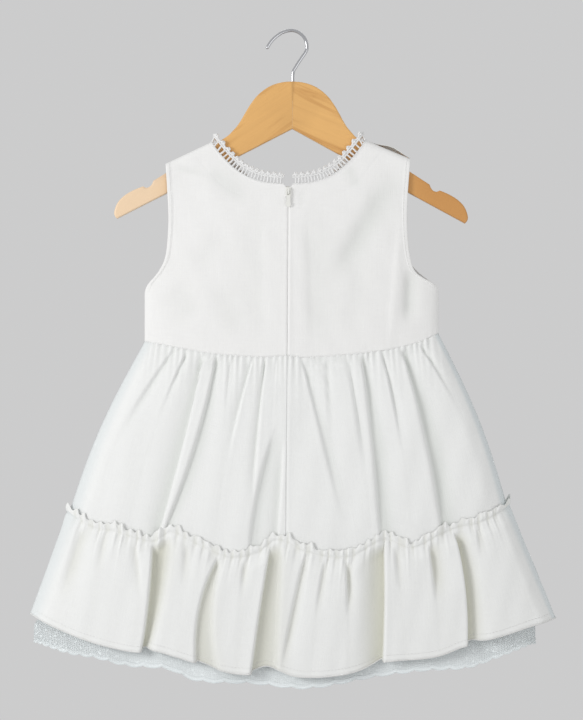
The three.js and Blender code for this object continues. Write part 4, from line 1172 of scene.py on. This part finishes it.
underskirt = {
    "depth": 12.4,
    "flare": 9.5,
    "wave": 1.3,
    "waves": 13,
    "waistDrop": 1.5,
    "thickness": 0.5,
    "left": (122.0, 213.5),
    "right": (122.0, 201.5),
}
lace = {
    "height": 32.0,
    "scallop": 1.9,
    "scallops": 36,
    "left": 224.5,
    "right": 212.5,
    "standOut": 5.5,
    "thickness": 0.3,
    "cords": ((-1, 0.42), (-3, 0.28), (2, 0.35)),      # the row that each follows, and its radius
}


def underskirtPoints(half, shares, columns):
    turn = np.linspace(-math.pi / 2, math.pi / 2, columns)[None, :]
    across = np.sin(turn)
    share = np.asarray(shares)[:, None]
    widths = np.where(turn < 0, between(*underskirt["left"], share), between(*underskirt["right"], share))
    x = widths * across
    wave = (np.sin(turn * underskirt["waves"]) - 1) * np.cos(turn) * smooth(share, 0.4, 1)
    z = between(waistZ(x) - underskirt["waistDrop"], laceHemZ(widths[-1:] * across) + lace["height"], share)
    full = underskirt["depth"] + underskirt["flare"] * smooth(share, 0.55, 1)
    depth = np.maximum(full * sectionDepth(across) + underskirt["wave"] * wave, 0.12)
    return np.stack([x, facingOf[half] * (seamGap / 2 + depth), z], axis=-1)


def laceGrid(half):
    columns = lace["scallops"] * 12 + 1
    top = underskirtPoints(half, [0.99, 1.0], columns)[-1]
    topX, topDepth, topZ = top[:, 0], np.abs(top[:, 1]), top[:, 2]
    stretch = np.where(topX < 0, lace["left"] / underskirt["left"][1], lace["right"] / underskirt["right"][1])
    place = np.linspace(0, lace["scallops"], columns)
    scallop = np.abs(np.sin(place * math.pi)) ** 0.7
    share = np.linspace(0, 1, 22)[:, None]
    x = topX * between(1.0, stretch, smooth(share, 0, 0.6))
    z = between(topZ[None, :], (laceHemZ(topX * stretch) - lace["scallop"] * scallop)[None, :], share)
    ripple = 0.8 * np.sin(place * 0.9 + 3 * share) + 0.5 * np.sin(place * 2.1 + 1.2)
    sideFade = 1 - smooth(np.abs(x) / 220, 0.9, 0.99)
    depth = np.maximum(topDepth[None, :] + (ripple + lace["standOut"]) * share * sideFade, 0.15)
    cord = smooth(share, 0.93, 0.97) + (1 - smooth(share, 0.02, 0.05))
    cord = np.broadcast_to(np.clip(cord, 0, 1), x.shape)
    marks = {"fold": cord, "rim": smooth(np.abs(x) / 218, 0.62, 0.95)}
    return {"points": np.stack([x, facingOf[half] * depth, z], axis=-1), "marks": marks}


laceCords = []
for half in ("back", "front"):
    points = underskirtPoints(half, np.linspace(0, 1, 26), 150)
    liningGrid = {"points": points, "marks": {"fold": np.zeros(points.shape[:2])}}
    lining = panel(
        f"underskirt_{half}", "lining", liningGrid,
        underskirt["thickness"], liningCloth,
    )
    grid = laceGrid(half)
    edging = clothPiece(f"lace_{half}_net", grid, facingOf[half], lace["thickness"], laceCloth)
    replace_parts(edging, f"lace_edging_{half}")
    laceCords += [tube(grid["points"][row], radius, 6) for row, radius in lace["cords"]]
joined("lace_cords", laceCords, laceYarn)
print("underskirt and lace made")


# Hanger

hanger = {
    "centreX": 1.2,
    "crownZ": -43.3,
    "thickness": 12.0,
    "bevel": 1.7,
    "tilt": 0.79,
    "joint": 0.03,
    "plainJoint": 2.0,                # the rims this near to the joint aren't rounded
    "sharpFrom": 38,
    "grainLean": {"left": -34, "right": 24},
    "jointStain": 0.35,
    # how strong the painted light on the left arm and the painted shade on the right arm are
    "pale": 0.75,
    "deep": 0.62,
}
armOutline = [(hanger["joint"], -43.3), (7.5, -43.8), (15.5, -45.8), (22.7, -49.3), (30.3, -55.5),
              (36, -62.7), (40.4, -70), (44.2, -76.8), (47.4, -81.9), (51.5, -86.7), (59.5, -93.9),
              (90, -112.3), (120.5, -131.6)]
armNotch = [(120.5, -131.6), (121.3, -134), (123.4, -136.6), (126.4, -137.6), (129.2, -136.4)]
armTip = [(129.2, -136.4), (137.6, -139.9), (145.5, -144.8), (151.2, -151), (154, -158.6), (153.6, -162.6),
          (151.6, -164.9)]
armUnder = [(151.6, -164.9), (106, -141), (hanger["joint"], -84.6)]


def turned(first, second, degrees):
    # two numbers of a point, turned in their plane
    c, s = math.cos(math.radians(degrees)), math.sin(math.radians(degrees))
    return first * c + second * s, second * c - first * s


def armBoard(sign):
    # the outline as a board with rounded rims
    outline = np.vstack([
        alongCurve(armOutline, np.linspace(0, 1, 60))[:-1],
        alongCurve(armNotch, np.linspace(0, 1, 14))[:-1],
        alongCurve(armTip, np.linspace(0, 1, 22))[:-1],
        alongCurve(armUnder, np.linspace(0, 1, 12), roundly=False),
    ])
    x, z = turned(outline[:, 0] * sign, outline[:, 1] - hanger["crownZ"], hanger["tilt"])
    half = hanger["thickness"] / 2 * mm
    joint, crown = hanger["centreX"] * mm, hanger["crownZ"] * mm
    shape = bmesh.new()
    corners = [shape.verts.new((px * mm + joint, -half, pz * mm + crown)) for px, pz in zip(x, z)]
    board = shape.faces.new(corners)
    pushed = bmesh.ops.extrude_face_region(shape, geom=[board])["geom"]
    far = [part for part in pushed if isinstance(part, bmesh.types.BMVert)]
    bmesh.ops.translate(shape, verts=far, vec=(0, 2 * half, 0))
    bmesh.ops.recalc_face_normals(shape, faces=shape.faces)
    rims = [edge for edge in shape.edges if abs(edge.verts[0].co.y - edge.verts[1].co.y) < samePlace]
    plain = hanger["plainJoint"] * mm
    rims = [edge for edge in rims if max(abs(vert.co.x - joint) for vert in edge.verts) > plain]
    bmesh.ops.bevel(shape, geom=rims, offset=hanger["bevel"] * mm, segments=4, profile=0.6, affect="EDGES")
    bmesh.ops.triangulate(shape, faces=[face for face in shape.faces if len(face.verts) > 4])
    return shape


def hangerArm(name, side):
    sign = signOf[side]
    mesh = bpy.data.meshes.new(name)
    shape = armBoard(sign)
    shape.to_mesh(mesh)
    shape.free()
    where = np.zeros(len(mesh.vertices) * 3)
    mesh.vertices.foreach_get("co", where)
    where = where.reshape(-1, 3)
    across, along = turned(where[:, 2], where[:, 0], hanger["grainLean"][side])
    fromJoint = np.abs(where[:, 0] / mm - hanger["centreX"])
    outward = sign * where[:, 0] / mm
    setMarks(mesh, {
        "grain": np.stack([along + sign, across, where[:, 1]], axis=-1),
        "edge": hanger["jointStain"] * np.exp(-fromJoint / 0.5),
        # painted light towards the left arm's tip, and painted shade towards the right arm's tip
        "pale": hanger["pale"] * smooth(outward, 60, 125) * (side == "left"),
        "deep": hanger["deep"] * smooth(outward, 70, 120) * (side == "right"),
    })
    arm = placed(name, mesh, armWood)
    mesh.set_sharp_from_angle(angle=math.radians(hanger["sharpFrom"]))
    return arm


for side in ("left", "right"):
    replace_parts(hangerArm(f"hanger_arm_{side}_wood", side), f"hanger_arm_{side}")

hook = {"radius": 1.5, "turnRadius": 14.1, "turnX": -0.6, "sides": 20}
hookStem = [(1.2, -60), (1.2, -47), (1.4, -35.6), (3.6, -30.6), (8.6, -22.9), (12.6, -16.9)]
hookTip = [(-7.8, -0.3), (-14, -4.4), (-18.6, -9.4), (-21.7, -14.8)]
turns = np.radians([0, 22.5, 45, 67.5, 90])
hookTurn = [(hook["turnX"] + hook["turnRadius"] * math.cos(a),
             hook["radius"] - hook["turnRadius"] + hook["turnRadius"] * math.sin(a)) for a in turns]
route = alongCurve(hookStem + hookTurn + hookTip, np.linspace(0, 1, 150))
route = np.stack([route[:, 0], np.zeros(len(route)), route[:, 1]], axis=-1)
fromTip = np.linspace(1, 0, len(route)) * lengthOf(route)
rounded = np.sqrt(np.clip(1 - (1 - np.minimum(fromTip / hook["radius"], 1)) ** 2, 0.04, 1))
wire = tube(route, hook["radius"] * rounded, hook["sides"])
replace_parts(joined("hanger_hook_wire", [wire], chromedWire), "hanger_hook")
print("hanger made")


# Zip: its tape and teeth behind the back seam, with the lacquered slider and pull tab

zipSize = {
    "top": -135.2,
    "bottom": -300.0,
    "tapeWidth": 11.0,
    "tapeThickness": 0.4,
    "behindCloth": 2.3,
    "belowWaist": (-283, 16.6),       # from there down it keeps this depth
    "toothPitch": 1.25,
    "toothReach": 0.9,
    "toothStep": 0.55,
    "toothRadius": 0.3,
}


def zipX(z):
    return np.interp(z, [-300, -283, -138], [-3.8, -3.6, -2.7])


zipRows = np.linspace(zipSize["top"], zipSize["bottom"], 60)
waistPlace, waistDepth = zipSize["belowWaist"]
tapeDepth = np.where(zipRows > waistPlace, bodiceDepth("back", zipX(zipRows), zipRows), waistDepth)
tapeDepth = tapeDepth - zipSize["behindCloth"]
tapeAcross = np.linspace(-1, 1, 9)[None, :] * zipSize["tapeWidth"]
tapePoints = np.stack([
    zipX(zipRows)[:, None] + tapeAcross,
    np.abs(tapeAcross) * 0.02 - tapeDepth[:, None],
    np.broadcast_to(zipRows[:, None], (len(zipRows), tapeAcross.shape[1])),
], axis=-1)
tapeGrid = {"points": tapePoints, "marks": {"fold": np.zeros(tapePoints.shape[:2])}}
zipTape = clothPiece("zip_tape", tapeGrid, facingOf["back"], zipSize["tapeThickness"], liningCloth)

teeth = []
for tooth, z in enumerate(np.arange(zipSize["top"], zipSize["bottom"], -zipSize["toothPitch"])):
    x = zipX(z) + (zipSize["toothStep"] if tooth % 2 else -zipSize["toothStep"])
    depth = np.interp(z, zipRows[::-1], tapeDepth[::-1])
    reach = zipSize["toothReach"]
    path = [(x - reach, -depth - 0.35, z), (x, -depth - 0.62, z - 0.15), (x + reach, -depth - 0.35, z)]
    teeth.append(tube(alongCurve(path, np.linspace(0, 1, 5)), zipSize["toothRadius"], 5))
joined("zip_teeth", teeth, zipLacquer)
for node in ("zip_slider", "zip_pull"):
    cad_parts[node].data.materials.clear()
    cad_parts[node].data.materials.append(zipLacquer.material)
print("zip made")


# Camera, light and floor

view = {
    "centre": (0.0, -0.285925),       # across and up, in metres as the rest here
    "frameHeight": 0.6257,
    "lens": 200.0,
    "sensor": 36.0,
    "clothDepth": 0.012,              # the frame is measured this far in front of the middle
}
camera = bpy.data.objects.new("camera", bpy.data.cameras.new("camera"))
bpy.context.scene.collection.objects.link(camera)
camera.data.lens = view["lens"]
camera.data.sensor_width = view["sensor"]
away = view["frameHeight"] * view["lens"] / view["sensor"] + view["clothDepth"]
camera.location = (view["centre"][0], -away, view["centre"][1])
camera.rotation_euler = (math.pi / 2, 0, 0)
bpy.context.scene.camera = camera

studio = {
    "grey": (0.604, 0.604, 0.606, 1),
    "aim": (0, 0, -0.3),
    "lights": {                       # place, size and power
        "window from the left": ((-1.7, -1.35, 0.05), 0.8, 18.2),
        "fill from the lower right": ((1.2, -2.2, -1.1), 1.8, 11),
        "light from behind": ((0.3, 2.2, 0.8), 1.6, 8),
    },
    "floor": {"radius": 1.3, "height": -1.0, "light": (0.62, 0.62, 0.62), "dark": (0.58, 0.58, 0.585)},
}
world = bpy.data.worlds.new("studio grey")
world.use_nodes = True
world.node_tree.nodes["Background"].inputs[0].default_value = studio["grey"]
bpy.context.scene.world = world
bpy.context.scene.view_settings.view_transform = "Standard"

for name, (place, size, power) in studio["lights"].items():
    lamp = bpy.data.objects.new(name, bpy.data.lights.new(name, "AREA"))
    lamp.data.size = size
    lamp.data.energy = power
    lamp.location = place
    lamp.rotation_euler = (Vector(studio["aim"]) - Vector(place)).to_track_quat("-Z", "Y").to_euler()
    bpy.context.scene.collection.objects.link(lamp)

ground = studio["floor"]
floorFinish = Finish("pale floor", Roughness=0.9)
speck = floorFinish.noise(floorFinish.node("ShaderNodeTexCoord", out="Object"), 60.0, 4.0)
floorFinish.set(Base_Color=floorFinish.mixed(speck, ground["light"], ground["dark"]))
bpy.ops.mesh.primitive_circle_add(
    vertices=96, radius=ground["radius"], fill_type="NGON", location=(0, 0, ground["height"]),
)
floor = bpy.context.object
floor.name = "floor"
floor.data.materials.append(floorFinish.material)
print("camera, light and floor set")
